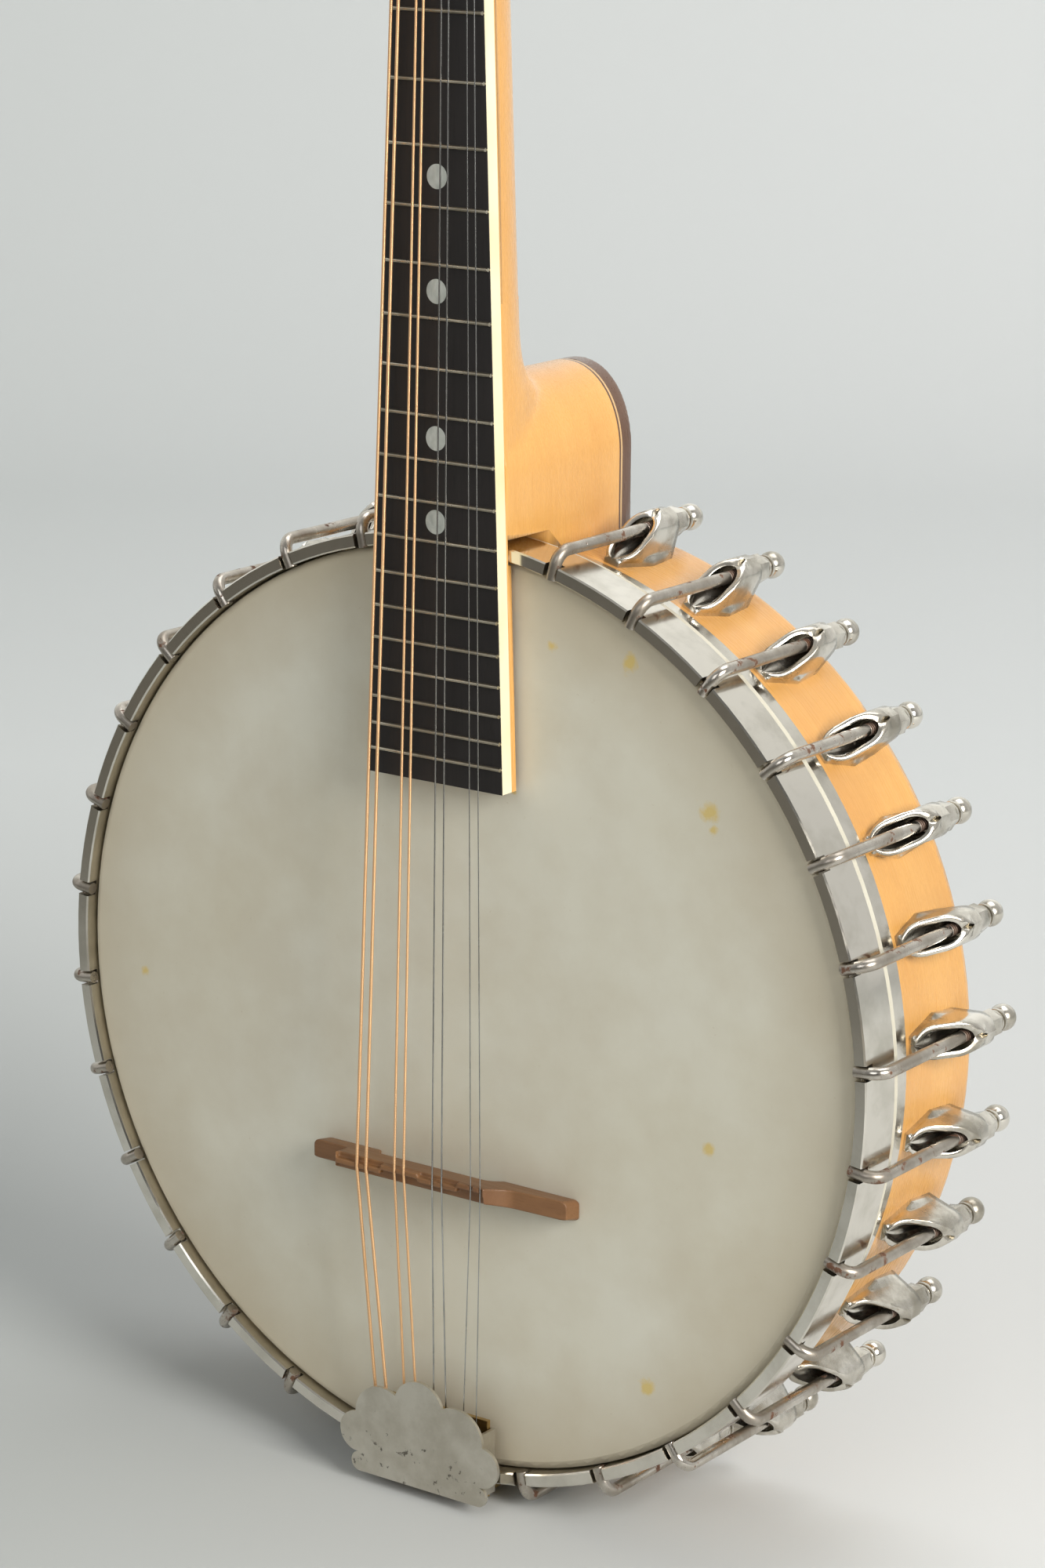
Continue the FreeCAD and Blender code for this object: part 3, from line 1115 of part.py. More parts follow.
# ---------------------------------------------------------------- the whole
def nodes():
    """Return every node's shape in the pot's frame."""
    made = {
        "rim_shell": rim_shell(),
        "rim_band": rim_band(),
        "tone_ring": tone_ring(),
        "head_skin": head_skin(),
        "flesh_hoop": flesh_hoop(),
        "tension_hoop": tension_hoop(),
        "bracket_hooks": round_the_pot(bracket_hook()),
        "bracket_shoes": round_the_pot(bracket_shoe()),
        "shoe_bolts": round_the_pot(shoe_bolt()),
        "shoe_washers": round_the_pot(shoe_washer()),
        "bracket_nuts": round_the_pot(bracket_nut()),
        "neck": neck(),
        "heel_cap": heel_piece(0, HEEL_CAP_T),
        "heel_light_line": heel_piece(HEEL_CAP_T, HEEL_LINE_T),
        "heel_dark_line": heel_piece(HEEL_CAP_T + HEEL_LINE_T, HEEL_LINE_T),
        "fingerboard": fingerboard(),
        "side_binding": side_binding(),
        "frets": frets(),
        "position_dots": position_dots(),
        "string_nut": string_nut(),
        "peghead_veneer": peghead_veneer(),
        "dowel_stick": dowel_stick(),
        "brace_plate": brace_plate(),
        "brace_pin": brace_pin(),
        "end_bolt": end_bolt(),
        "end_spacer": end_spacer(),
        "tailpiece_base": tailpiece_base(),
        "string_pegs": string_pegs(),
        "tailpiece_cover": tailpiece_cover(),
        "bridge": bridge(),
        "tuner_plate_left": tuner_plate(-1),
        "tuner_plate_right": tuner_plate(1),
        "plate_screws": plate_screws(),
        "post_bushings": post_bushings(),
    }
    for k in range(STRINGS):
        made["string_%d" % (k + 1)] = string(k)
        made["post_%d" % (k + 1)] = string_post(k)
        made["key_%d" % (k + 1)] = tuning_key(k)
    return made


def base_shift(made):
    """Return the move that puts the middle of the lowest plane at the origin."""
    outermost = ("bracket_shoes", "bracket_nuts", "string_1", "string_8")
    ends = [made[name].optimalBoundingBox() for name in outermost]
    low_z = min(box.ZMin for box in ends)
    mid_y = (min(box.YMin for box in ends) + max(box.YMax for box in ends)) / 2
    return Vector(0, -mid_y, -low_z)


def main():
    """Build the banjo, stand it on its base and write one STEP file for each node."""
    os.makedirs("parts", exist_ok=True)
    made = nodes()
    shift = base_shift(made)
    for name, shape in made.items():
        shape.translate(shift)
        shape.exportStep("parts/%s.step" % name)


if __name__ == "__main__":
    main()
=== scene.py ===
"""Dresses a small open-back banjo: finishes for its solids, and finer pieces where the solids are plain."""

import json
import logging
import math
from dataclasses import dataclass
from enum import Enum
from typing import Any, Callable, Dict, List, Optional, Sequence, Tuple

import bmesh
import bpy
from mathutils import Matrix, Vector


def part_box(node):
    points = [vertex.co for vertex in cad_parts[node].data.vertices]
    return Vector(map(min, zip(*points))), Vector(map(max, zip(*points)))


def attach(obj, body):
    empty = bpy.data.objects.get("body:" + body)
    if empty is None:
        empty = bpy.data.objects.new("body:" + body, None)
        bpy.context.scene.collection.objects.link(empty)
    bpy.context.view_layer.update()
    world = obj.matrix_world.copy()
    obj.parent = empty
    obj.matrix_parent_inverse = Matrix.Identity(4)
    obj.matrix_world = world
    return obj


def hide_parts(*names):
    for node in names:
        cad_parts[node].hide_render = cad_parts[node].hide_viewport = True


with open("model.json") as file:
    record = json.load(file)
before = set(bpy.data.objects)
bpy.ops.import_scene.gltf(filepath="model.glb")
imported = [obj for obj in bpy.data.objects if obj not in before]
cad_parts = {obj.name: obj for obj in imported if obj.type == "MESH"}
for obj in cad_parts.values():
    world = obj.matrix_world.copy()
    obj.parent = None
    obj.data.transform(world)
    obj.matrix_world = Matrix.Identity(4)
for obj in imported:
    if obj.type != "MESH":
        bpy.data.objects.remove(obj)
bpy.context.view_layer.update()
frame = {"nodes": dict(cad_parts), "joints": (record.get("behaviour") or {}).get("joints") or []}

MAIN_BODY = "pot_and_neck"
MM = 0.001

Colour = Tuple[float, float, float]
Stops = Sequence[Tuple[float, Colour]]

log = logging.getLogger("banjo")


# ------------------------------------------------------------------ node trees
class Board:
    """A node tree that is being laid out."""

    def __init__(self, tree: bpy.types.NodeTree) -> None:
        """Start on a tree.

        Args:
            tree: The tree that takes the nodes.
        """
        self.tree = tree

    def add(self, kind: str, values: Optional[Dict[Any, Any]] = None, **settings: Any) -> bpy.types.Node:
        """Add a node.

        Args:
            kind: The node's type name.
            values: Its inputs by name or number, each a plain value or another node's output.
            settings: Its properties.

        Returns:
            The new node.
        """
        node = self.tree.nodes.new(kind)
        for name, value in settings.items():
            setattr(node, name, value)
        for key, value in (values or {}).items():
            if isinstance(value, bpy.types.NodeSocket):
                self.tree.links.new(value, node.inputs[key])
            else:
                node.inputs[key].default_value = value
        return node

    def math(self, operation: str, first: Any, second: Any = 0.0) -> bpy.types.NodeSocket:
        """Return the result of a Math node on two values."""
        return self.add("ShaderNodeMath", {0: first, 1: second}, operation=operation).outputs[0]

    def blend(self, share: Any, first: Any, second: Any, mode: str = "MIX") -> bpy.types.NodeSocket:
        """Return a mix of two colours.

        Args:
            share: How much of the second colour, 0 to 1.
            first: A colour, or the output that gives it.
            second: The other colour.
            mode: The mix node's blend type.

        Returns:
            A mix of two colours.
        """
        node = self.add("ShaderNodeMix", data_type="RGBA", blend_type=mode)
        for place, value in ((0, share), (6, first), (7, second)):
            if isinstance(value, bpy.types.NodeSocket):
                self.tree.links.new(value, node.inputs[place])
            elif place:
                node.inputs[place].default_value = (*value, 1.0)
            else:
                node.inputs[place].default_value = value
        return node.outputs[2]

    def ramp(self, share: Any, stops: Stops) -> bpy.types.NodeSocket:
        """Return a colour from a ramp of (place, colour) stops.

        Args:
            share: Where to read the ramp, from none to one.
            stops: The ramp's stops.

        Returns:
            A colour from a ramp of (place, colour) stops.
        """
        node = self.add("ShaderNodeValToRGB", {0: share})
        elements = node.color_ramp.elements
        while len(elements) < len(stops):
            elements.new(0.5)
        for element, (place, colour) in zip(elements, stops):
            element.position = place
            element.color = (*colour, 1.0)
        return node.outputs[0]

    def spread(self, value: Any, low: float, high: float, to_low: float,
               to_high: float) -> bpy.types.NodeSocket:
        """Return a value carried from one range to another, and held inside it."""
        values = {0: value, 1: low, 2: high, 3: to_low, 4: to_high}
        return self.add("ShaderNodeMapRange", values).outputs[0]

    def noise(self, vector: Any, scale: Any, detail: float = 4.0,
              rough: float = 0.55) -> bpy.types.NodeSocket:
        """Return a noise value at a place."""
        values = {"Vector": vector, "Scale": scale, "Detail": detail, "Roughness": rough}
        return self.add("ShaderNodeTexNoise", values).outputs[0]

    def stretch(self, vector: Any, scale: Tuple[float, float, float]) -> bpy.types.NodeSocket:
        """Return a vector with its parts multiplied."""
        return self.add("ShaderNodeVectorMath", {0: vector, 1: scale}, operation="MULTIPLY").outputs[0]

    def relief(self, height: Any, depth: float, strength: float = 1.0,
               under: Optional[bpy.types.NodeSocket] = None) -> bpy.types.NodeSocket:
        """Return a bumped normal.

        Args:
            height: The output that gives the height, 0 to 1.
            depth: What 1 stands for, in metres.
            strength: How much of the bump shows.
            under: A normal that the bump is laid on.

        Returns:
            A bumped normal.
        """
        values = {"Height": height, "Distance": depth, "Strength": strength}
        if under is not None:
            values["Normal"] = under
        return self.add("ShaderNodeBump", values).outputs[0]


def shader_group(name: str, inputs: Dict[str, Any], outputs: Dict[str, str]) -> Tuple[Board, Any, Any]:
    """Start a shader group.

    Args:
        name: The group's name.
        inputs: Each input's name and its start value; a tuple makes a vector.
        outputs: Each output's name and its socket type.

    Returns:
        The group's board, its input node's outputs and its output node's inputs.
    """
    tree = bpy.data.node_groups.new(name, "ShaderNodeTree")
    for label, value in inputs.items():
        kind = "NodeSocketVector" if isinstance(value, tuple) else "NodeSocketFloat"
        socket = tree.interface.new_socket(label, in_out="INPUT", socket_type=kind)
        socket.default_value = value
    for label, kind in outputs.items():
        tree.interface.new_socket(label, in_out="OUTPUT", socket_type=kind)
    board = Board(tree)
    return board, board.add("NodeGroupInput").outputs, board.add("NodeGroupOutput").inputs


class SharedEffects:
    """The effects that several finishes use, each built once as a shader group."""

    def __init__(self) -> None:
        """Build the groups."""
        self.grain = self._grain()
        self.tarnish = self._tarnish()
        self.scratches = self._scratches()
        self.around = self._around_the_pot()

    @staticmethod
    def _grain() -> bpy.types.NodeTree:
        """Return wood grain along the vector's Z: its tone, its pores and its slow figure.

        Returns:
            Wood grain along the vector's Z: its tone, its pores and its slow figure.
        """
        board, given, result = shader_group(
            "wood_grain", {"Vector": (0.0, 0.0, 0.0), "Scale": 1.0},
            {"Tone": "NodeSocketFloat", "Pores": "NodeSocketFloat", "Figure": "NodeSocketFloat"})
        scaled = board.add("ShaderNodeVectorMath", {0: given["Vector"], 3: given["Scale"]},
                           operation="SCALE").outputs[0]
        streaks = board.noise(board.stretch(scaled, (260.0, 260.0, 9.0)), 1.0, 5.0, 0.6)
        bands = board.noise(board.stretch(scaled, (48.0, 48.0, 4.0)), 1.0, 3.0, 0.5)
        cloud = board.noise(board.stretch(scaled, (30.0, 30.0, 18.0)), 1.0, 3.0, 0.55)
        tone = board.math("ADD", board.math("MULTIPLY", streaks, 0.25), board.math("MULTIPLY", bands, 0.35))
        tone = board.math("ADD", tone, board.math("MULTIPLY", cloud, 0.40))
        pores = board.noise(board.stretch(scaled, (1500.0, 1500.0, 70.0)), 1.0, 2.0, 0.5)
        figure = board.noise(board.stretch(scaled, (22.0, 22.0, 14.0)), 1.0, 2.0, 0.5)
        for name, value in (("Tone", tone), ("Pores", pores), ("Figure", figure)):
            board.tree.links.new(value, result[name])
        return board.tree

    @staticmethod
    def _tarnish() -> bpy.types.NodeTree:
        """Return blotches: a mask that covers more as Amount grows, soft at its edges.

        Returns:
            Blotches: a mask that covers more as Amount grows, soft at its edges.
        """
        board, given, result = shader_group(
            "tarnish", {"Vector": (0.0, 0.0, 0.0), "Scale": 60.0, "Amount": 0.3, "Softness": 0.1},
            {"Mask": "NodeSocketFloat"})
        broad = board.noise(given["Vector"], given["Scale"], 6.0, 0.62)
        edge = board.math("SUBTRACT", 0.85, board.math("MULTIPLY", given["Amount"], 0.6))
        low = board.math("SUBTRACT", edge, given["Softness"])
        share = board.math("DIVIDE", board.math("SUBTRACT", broad, low),
                           board.math("ADD", given["Softness"], 0.001))
        clamped = board.add("ShaderNodeClamp", {0: share}).outputs[0]
        board.tree.links.new(clamped, result["Mask"])
        return board.tree

    @staticmethod
    def _scratches() -> bpy.types.NodeTree:
        """Return fine scratches and pits as a height.

        Returns:
            Fine scratches and pits as a height.
        """
        board, given, result = shader_group(
            "scratches", {"Vector": (0.0, 0.0, 0.0), "Scale": 1.0}, {"Height": "NodeSocketFloat"})
        scaled = board.add("ShaderNodeVectorMath", {0: given["Vector"], 3: given["Scale"]},
                           operation="SCALE").outputs[0]
        lines = board.noise(board.stretch(scaled, (900.0, 120.0, 900.0)), 1.0, 2.0, 0.4)
        pits = board.noise(scaled, 700.0, 3.0, 0.6)
        total = board.math("ADD", board.math("MULTIPLY", lines, 0.6), board.math("MULTIPLY", pits, 0.4))
        board.tree.links.new(total, result["Height"])
        return board.tree

    @staticmethod
    def _around_the_pot() -> bpy.types.NodeTree:
        """Return coordinates wound round the pot: radius, depth, and the way round as Z.

        Returns:
            Coordinates wound round the pot: radius, depth, and the way round as Z.
        """
        board, given, result = shader_group(
            "around_the_pot", {"Vector": (0.0, 0.0, 0.0), "Centre height": 0.1386, "Radius": 0.129},
            {"Vector": "NodeSocketVector", "Radius": "NodeSocketFloat"})
        parts = board.add("ShaderNodeSeparateXYZ", {0: given["Vector"]}).outputs
        height = board.math("SUBTRACT", parts[2], given["Centre height"])
        turn = board.math("ARCTAN2", parts[0], height)
        square = board.math("ADD", board.math("MULTIPLY", parts[0], parts[0]),
                            board.math("MULTIPLY", height, height))
        radius = board.math("SQRT", square)
        arc = board.math("MULTIPLY", turn, given["Radius"])
        wound = board.add("ShaderNodeCombineXYZ", {0: radius, 1: parts[1], 2: arc}).outputs[0]
        board.tree.links.new(wound, result["Vector"])
        board.tree.links.new(radius, result["Radius"])
        return board.tree


class GrainWay(Enum):
    """Which way a wood's grain runs."""

    UPWARDS = "along Z"
    ACROSS = "along X"
    AROUND = "round the pot"


class Finish:
    """A finish: builds one material and puts it on objects."""

    name: str

    def surface(self, board: Board, place: bpy.types.NodeSocket) -> Dict[str, Any]:
        """Return the shader's inputs, given the board and the object's coordinates."""
        raise NotImplementedError

    def material(self) -> bpy.types.Material:
        """Return the finish's material, built on first use.

        Returns:
            The finish's material, built on first use.
        """
        label = self.name + "_finish"
        found = bpy.data.materials.get(label)
        if found:
            return found
        made = bpy.data.materials.new(label)
        made.use_nodes = True
        made.node_tree.nodes.clear()
        board = Board(made.node_tree)
        place = board.add("ShaderNodeTexCoord").outputs["Object"]
        shader = board.add("ShaderNodeBsdfPrincipled", self.surface(board, place))
        board.add("ShaderNodeOutputMaterial", {"Surface": shader.outputs[0]})
        return made

    def dress(self, *objects: bpy.types.Object) -> None:
        """Put the finish on objects in place of what they wear."""
        for each in objects:
            each.data.materials.clear()
            each.data.materials.append(self.material())


def use_group(board: Board, tree: bpy.types.NodeTree, **values: Any) -> Any:
    """Place a shared group and return its outputs; underscores in value names stand for spaces.

    Args:
        board: The board of the tree to add to.
        tree: The group's node tree.

    Returns:
        The group's outputs by name.
    """
    node = board.add("ShaderNodeGroup", node_tree=tree)
    for name, value in values.items():
        key = name.replace("_", " ")
        if isinstance(value, bpy.types.NodeSocket):
            board.tree.links.new(value, node.inputs[key])
        else:
            node.inputs[key].default_value = value
    return node.outputs


@dataclass(frozen=True)
class Wood(Finish):
    """Varnished wood with grain, slow figure and open pores."""

    name: str
    effects: SharedEffects
    tones: Stops
    way: GrainWay = GrainWay.UPWARDS
    grain_scale: float = 1.0
    shade: Colour = (0.5, 0.5, 0.5)
    shade_share: float = 0.0
    rough: Tuple[float, float] = (0.28, 0.42)
    coat: float = 0.3
    pore_depth: float = 0.00004
    centre_height: float = 0.1386

    def surface(self, board: Board, place: bpy.types.NodeSocket) -> Dict[str, Any]:
        """Return the wood's shader inputs.

        Args:
            board: The board of the tree to add to.
            place: The object's coordinates.

        Returns:
            The wood's shader inputs.
        """
        if self.way is GrainWay.AROUND:
            place = use_group(board, self.effects.around, Vector=place,
                              Centre_height=self.centre_height)["Vector"]
        elif self.way is GrainWay.ACROSS:
            parts = board.add("ShaderNodeSeparateXYZ", {0: place}).outputs
            place = board.add("ShaderNodeCombineXYZ", {0: parts[2], 1: parts[1], 2: parts[0]}).outputs[0]
        grain = use_group(board, self.effects.grain, Vector=place, Scale=self.grain_scale)
        tone = board.ramp(grain["Tone"], self.tones)
        worn = board.spread(grain["Figure"], 0.35, 0.7, 0.0, self.shade_share)
        colour = board.blend(worn, tone, self.shade)
        fine = board.spread(grain["Pores"], 0.25, 0.45, 0.55, 0.0)
        colour = board.blend(fine, colour, self.tones[0][1])
        return {
            "Base Color": colour,
            "Roughness": board.spread(grain["Pores"], 0.3, 0.7, self.rough[1], self.rough[0]),
            "Normal": board.relief(grain["Pores"], self.pore_depth, 0.35),
            "Coat Weight": self.coat,
            "Coat Roughness": 0.22,
        }


@dataclass(frozen=True)
class Metal(Finish):
    """Plated or bare metal with dull patches, spots of rust or bare brass, and fine scratches."""

    name: str
    effects: SharedEffects
    bright: Colour
    dull: Colour
    spot: Colour = (0.2, 0.1, 0.05)
    dull_amount: float = 0.35
    spot_amount: float = 0.0
    spot_scale: float = 160.0
    rough: Tuple[float, float] = (0.12, 0.35)
    scratch_depth: float = 0.00002
    pit_amount: float = 0.0
    thread_from_y: Optional[float] = None
    thread_pitch: float = 0.0009
    pits_below: Optional[float] = None

    def surface(self, board: Board, place: bpy.types.NodeSocket) -> Dict[str, Any]:
        """Return the metal's shader inputs.

        Args:
            board: The board of the tree to add to.
            place: The object's coordinates.

        Returns:
            The metal's shader inputs.
        """
        fx = self.effects
        dull = use_group(board, fx.tarnish, Vector=place, Scale=70.0, Amount=self.dull_amount,
                         Softness=0.22)["Mask"]
        spots = use_group(board, fx.tarnish, Vector=place, Scale=self.spot_scale,
                          Amount=self.spot_amount, Softness=0.05)["Mask"]
        colour = board.blend(dull, self.bright, self.dull)
        metallic: Any = board.spread(spots, 0.0, 1.0, 1.0, 0.25)
        rough = board.spread(dull, 0.0, 1.0, self.rough[0], self.rough[1])
        rough = board.math("ADD", rough, board.math("MULTIPLY", spots, 0.35))
        scratches = use_group(board, fx.scratches, Vector=place, Scale=1.0)["Height"]
        normal = board.relief(scratches, self.scratch_depth, 0.25)
        if self.pit_amount > 0.0:
            amount: Any = self.pit_amount
            if self.pits_below is not None:
                height = board.add("ShaderNodeSeparateXYZ", {0: place}).outputs[2]
                amount = board.spread(height, self.pits_below - 0.012, self.pits_below, self.pit_amount,
                                      0.0)
            pits = use_group(board, fx.tarnish, Vector=place, Scale=420.0, Amount=amount,
                             Softness=0.06)["Mask"]
            colour = board.blend(board.math("MULTIPLY", pits, 0.75), colour, self.spot)
            normal = board.relief(board.math("SUBTRACT", 1.0, pits), 0.00015, 0.6, normal)
            rough = board.math("ADD", rough, board.math("MULTIPLY", pits, 0.25))
        if self.thread_from_y is not None:
            depth = board.add("ShaderNodeSeparateXYZ", {0: place}).outputs[1]
            on_thread = board.spread(depth, self.thread_from_y, self.thread_from_y + 0.0006, 0.0, 1.0)
            turns = board.math("SINE", board.math("MULTIPLY", depth, 2.0 * math.pi / self.thread_pitch))
            ridge = board.math("MULTIPLY", board.math("ADD", board.math("MULTIPLY", turns, 0.5), 0.5),
                               on_thread)
            normal = board.relief(ridge, 0.00035, 1.0, normal)
            spots = board.math("MAXIMUM", spots, board.math("MULTIPLY", on_thread, 0.8))
            rough = board.math("ADD", rough, board.math("MULTIPLY", on_thread, 0.2))
            metallic = board.spread(spots, 0.0, 1.0, 1.0, 0.25)
        colour = board.blend(spots, colour, self.spot)
        return {"Base Color": colour, "Metallic": metallic, "Roughness": rough, "Normal": normal}


@dataclass(frozen=True)
class Horn(Finish):
    """Celluloid, bone or pearl: pale, faintly lined and a little see-through in look."""

    name: str
    effects: SharedEffects
    pale: Colour
    deep: Colour
    line_scale: Tuple[float, float, float] = (120.0, 120.0, 8.0)
    rough: float = 0.3
    coat: float = 0.3

    def surface(self, board: Board, place: bpy.types.NodeSocket) -> Dict[str, Any]:
        """Return the shader inputs.

        Args:
            board: The board of the tree to add to.
            place: The object's coordinates.

        Returns:
            The shader inputs.
        """
        lines = board.noise(board.stretch(place, self.line_scale), 1.0, 3.0, 0.5)
        cloud = board.noise(place, 40.0, 3.0, 0.5)
        share = board.spread(board.math("ADD", lines, cloud), 0.75, 1.3, 0.0, 1.0)
        return {
            "Base Color": board.blend(share, self.pale, self.deep),
            "Roughness": board.spread(cloud, 0.3, 0.7, self.rough, self.rough + 0.15),
            "Normal": board.relief(lines, 0.00003, 0.3),
            "Coat Weight": self.coat,
            "Coat Roughness": 0.15,
        }


@dataclass(frozen=True)
class Calfskin(Finish):
    """A stretched skin: mottled, with faint fibres, thumbed patches and a few yellow stains."""

    name: str
    effects: SharedEffects
    centre_height: float
    ground: Colour = (0.60, 0.57, 0.46)
    pale: Colour = (0.635, 0.615, 0.52)
    brown: Colour = (0.36, 0.275, 0.155)
    stain: Colour = (0.60, 0.42, 0.07)
    stain_places: Tuple[Tuple[float, float, float], ...] = (
        (82.0, 70.0, 3.4), (83.5, 65.5, 2.0), (84.0, -21.0, 2.2), (66.0, -92.0, 2.6),
        (57.0, 106.0, 3.2), (32.0, 107.0, 2.0), (-110.0, -8.0, 1.8), (20.0, 66.0, 1.2))

    def _stains(self, board: Board, place: bpy.types.NodeSocket) -> bpy.types.NodeSocket:
        """Return a mask of the small stains, ragged at their edges.

        Args:
            board: The board of the tree to add to.
            place: The object's coordinates.

        Returns:
            A mask of the small stains, ragged at their edges.
        """
        ragged = board.noise(place, 260.0, 4.0, 0.6)
        mask: Any = 0.0
        for x, z, radius in self.stain_places:
            spot = (x * MM, 0.0, self.centre_height + z * MM)
            flat = board.stretch(place, (1.0, 0.0, 1.0))
            away = board.add("ShaderNodeVectorMath", {0: flat, 1: spot}, operation="DISTANCE").outputs[1]
            reach = board.math("ADD", away, board.math("MULTIPLY", board.math("SUBTRACT", ragged, 0.5),
                                                       radius * 2.2 * MM))
            mask = board.math("MAXIMUM", mask,
                              board.spread(reach, radius * 0.35 * MM, radius * MM, 1.0, 0.0))
        return mask

    def surface(self, board: Board, place: bpy.types.NodeSocket) -> Dict[str, Any]:
        """Return the skin's shader inputs.

        Args:
            board: The board of the tree to add to.
            place: The object's coordinates.

        Returns:
            The skin's shader inputs.
        """
        around = use_group(board, self.effects.around, Vector=place, Centre_height=self.centre_height)
        cloud = board.noise(place, 14.0, 4.0, 0.6)
        colour = board.blend(board.spread(cloud, 0.35, 0.65, 0.0, 1.0), self.ground, self.pale)
        smudge = use_group(board, self.effects.tarnish, Vector=place, Scale=22.0, Amount=0.32,
                           Softness=0.25)["Mask"]
        colour = board.blend(board.math("MULTIPLY", smudge, 0.22), colour, self.brown)
        # The skin is painted browner towards the hoop, up to its edge.
        browner_towards_hoop = board.spread(around["Radius"], 0.100, 0.1285, 0.0, 0.42)
        beyond = board.spread(around["Radius"], 0.1297, 0.1302, 1.0, 0.0)
        colour = board.blend(board.math("MULTIPLY", browner_towards_hoop, beyond), colour, self.brown)
        fibres = board.noise(board.stretch(place, (240.0, 90.0, 60.0)), 1.0, 5.0, 0.65)
        specks = use_group(board, self.effects.tarnish, Vector=place, Scale=520.0, Amount=0.18,
                           Softness=0.05)["Mask"]
        colour = board.blend(board.math("MULTIPLY", specks, 0.25), colour, self.brown)
        colour = board.blend(board.math("MULTIPLY", self._stains(board, place), 0.7), colour, self.stain)
        return {
            "Base Color": colour,
            "Roughness": board.spread(fibres, 0.3, 0.7, 0.42, 0.58),
            "Normal": board.relief(fibres, 0.00006, 0.35),
            "Sheen Weight": 0.08,
            "Subsurface Weight": 0.0,
        }


@dataclass(frozen=True)
class WoundWire(Finish):
    """A string's winding: fine turns along its length, with painted shade between them."""

    name: str
    effects: SharedEffects
    bright: Colour
    deep: Colour
    pitch: float = 0.00032

    def surface(self, board: Board, place: bpy.types.NodeSocket) -> Dict[str, Any]:
        """Return the wire's shader inputs.

        Args:
            board: The board of the tree to add to.
            place: The object's coordinates.

        Returns:
            The wire's shader inputs.
        """
        height = board.add("ShaderNodeSeparateXYZ", {0: place}).outputs[2]
        turns = board.math("SINE", board.math("MULTIPLY", height, 2.0 * math.pi / self.pitch))
        share = board.spread(turns, -1.0, 1.0, 0.0, 1.0)
        worn = board.noise(place, 90.0, 3.0, 0.5)
        return {
            # The colour is painted darker between the turns and brighter on them: painted shade in the
            # grooves.
            "Base Color": board.blend(board.math("MULTIPLY", share, 0.8), self.deep, self.bright),
            "Metallic": 0.75,
            "Roughness": board.spread(worn, 0.3, 0.7, 0.34, 0.48),
            "Normal": board.relief(share, 0.00006, 0.6),
        }


# ------------------------------------------------------------------ geometry trees
class GeometryBoard(Board):
    """A Geometry Nodes tree with named inputs, run once and turned into a plain mesh."""

    def __init__(self, name: str, inputs: Dict[str, Any]) -> None:
        """Start the tree.

        Args:
            name: The tree's name.
            inputs: Each named size and its value: a whole number, a number, an object or a material.
        """
        tree = bpy.data.node_groups.new(name, "GeometryNodeTree")
        super().__init__(tree)
        self.values = inputs
        self.keys: Dict[str, str] = {}
        tree.interface.new_socket("Geometry", in_out="INPUT", socket_type="NodeSocketGeometry")
        for label, value in inputs.items():
            kind = {int: "NodeSocketInt", float: "NodeSocketFloat",
                    bpy.types.Material: "NodeSocketMaterial"}.get(type(value), "NodeSocketObject")
            self.keys[label] = tree.interface.new_socket(label, in_out="INPUT", socket_type=kind).identifier
        tree.interface.new_socket("Geometry", in_out="OUTPUT", socket_type="NodeSocketGeometry")
        self.given = self.add("NodeGroupInput").outputs
        self.result = self.add("NodeGroupOutput").inputs

    def index(self) -> bpy.types.NodeSocket:
        """Return the index of each element."""
        return self.add("GeometryNodeInputIndex").outputs[0]

    def finish(self, geometry: bpy.types.NodeSocket, name: str) -> bpy.types.Object:
        """End the tree, run it and keep the result.

        Args:
            geometry: The output that holds the instances or the mesh.
            name: The new object's name.

        Returns:
            A plain mesh object.
        """
        real = self.add("GeometryNodeRealizeInstances", {0: geometry}).outputs[0]
        dressed = self.add("GeometryNodeSetMaterial",
                           {"Geometry": real, "Material": self.given["Finish"]}).outputs[0]
        smooth = self.add("GeometryNodeSetShadeSmooth", {0: dressed}).outputs[0]
        self.tree.links.new(smooth, self.result["Geometry"])
        carrier = bpy.data.objects.new(name + "_carrier", bpy.data.meshes.new(name + "_carrier"))
        bpy.context.scene.collection.objects.link(carrier)
        modifier = carrier.modifiers.new("tree", "NODES")
        modifier.node_group = self.tree
        for label, key in self.keys.items():
            modifier[key] = self.values[label]
        made = bake(carrier, name)
        bpy.data.objects.remove(carrier)
        return made


def bake(source: bpy.types.Object, name: str) -> bpy.types.Object:
    """Return a plain mesh object with an object's modifiers applied.

    Args:
        source: The object with live modifiers; it is left as it is.
        name: The new object's name.

    Returns:
        A plain mesh object with an object's modifiers applied.
    """
    bpy.context.view_layer.update()
    evaluated = source.evaluated_get(bpy.context.evaluated_depsgraph_get())
    mesh = bpy.data.meshes.new_from_object(evaluated)
    mesh.name = name
    made = bpy.data.objects.new(name, mesh)
    bpy.context.scene.collection.objects.link(made)
    return made


def mesh_object(name: str, build: Callable[[bmesh.types.BMesh], None]) -> bpy.types.Object:
    """Return a mesh object that a function fills in, with its faces pointing outwards.

    Args:
        name: The object's name.
        build: Adds the geometry to the empty bmesh.

    Returns:
        A mesh object that a function fills in, with its faces pointing outwards.
    """
    shape = bmesh.new()
    build(shape)
    bmesh.ops.remove_doubles(shape, verts=shape.verts, dist=1e-7)
    bmesh.ops.recalc_face_normals(shape, faces=shape.faces)
    mesh = bpy.data.meshes.new(name)
    shape.to_mesh(mesh)
    shape.free()
    made = bpy.data.objects.new(name, mesh)
    bpy.context.scene.collection.objects.link(made)
    return made


def shade(piece: bpy.types.Object, degrees: float = 40.0) -> None:
    """Shade a piece smooth except across sharp edges.

    Args:
        piece: A mesh object.
        degrees: Edges that turn more than this stay sharp.
    """
    piece.data.shade_smooth()
    piece.data.set_sharp_from_angle(angle=math.radians(degrees))


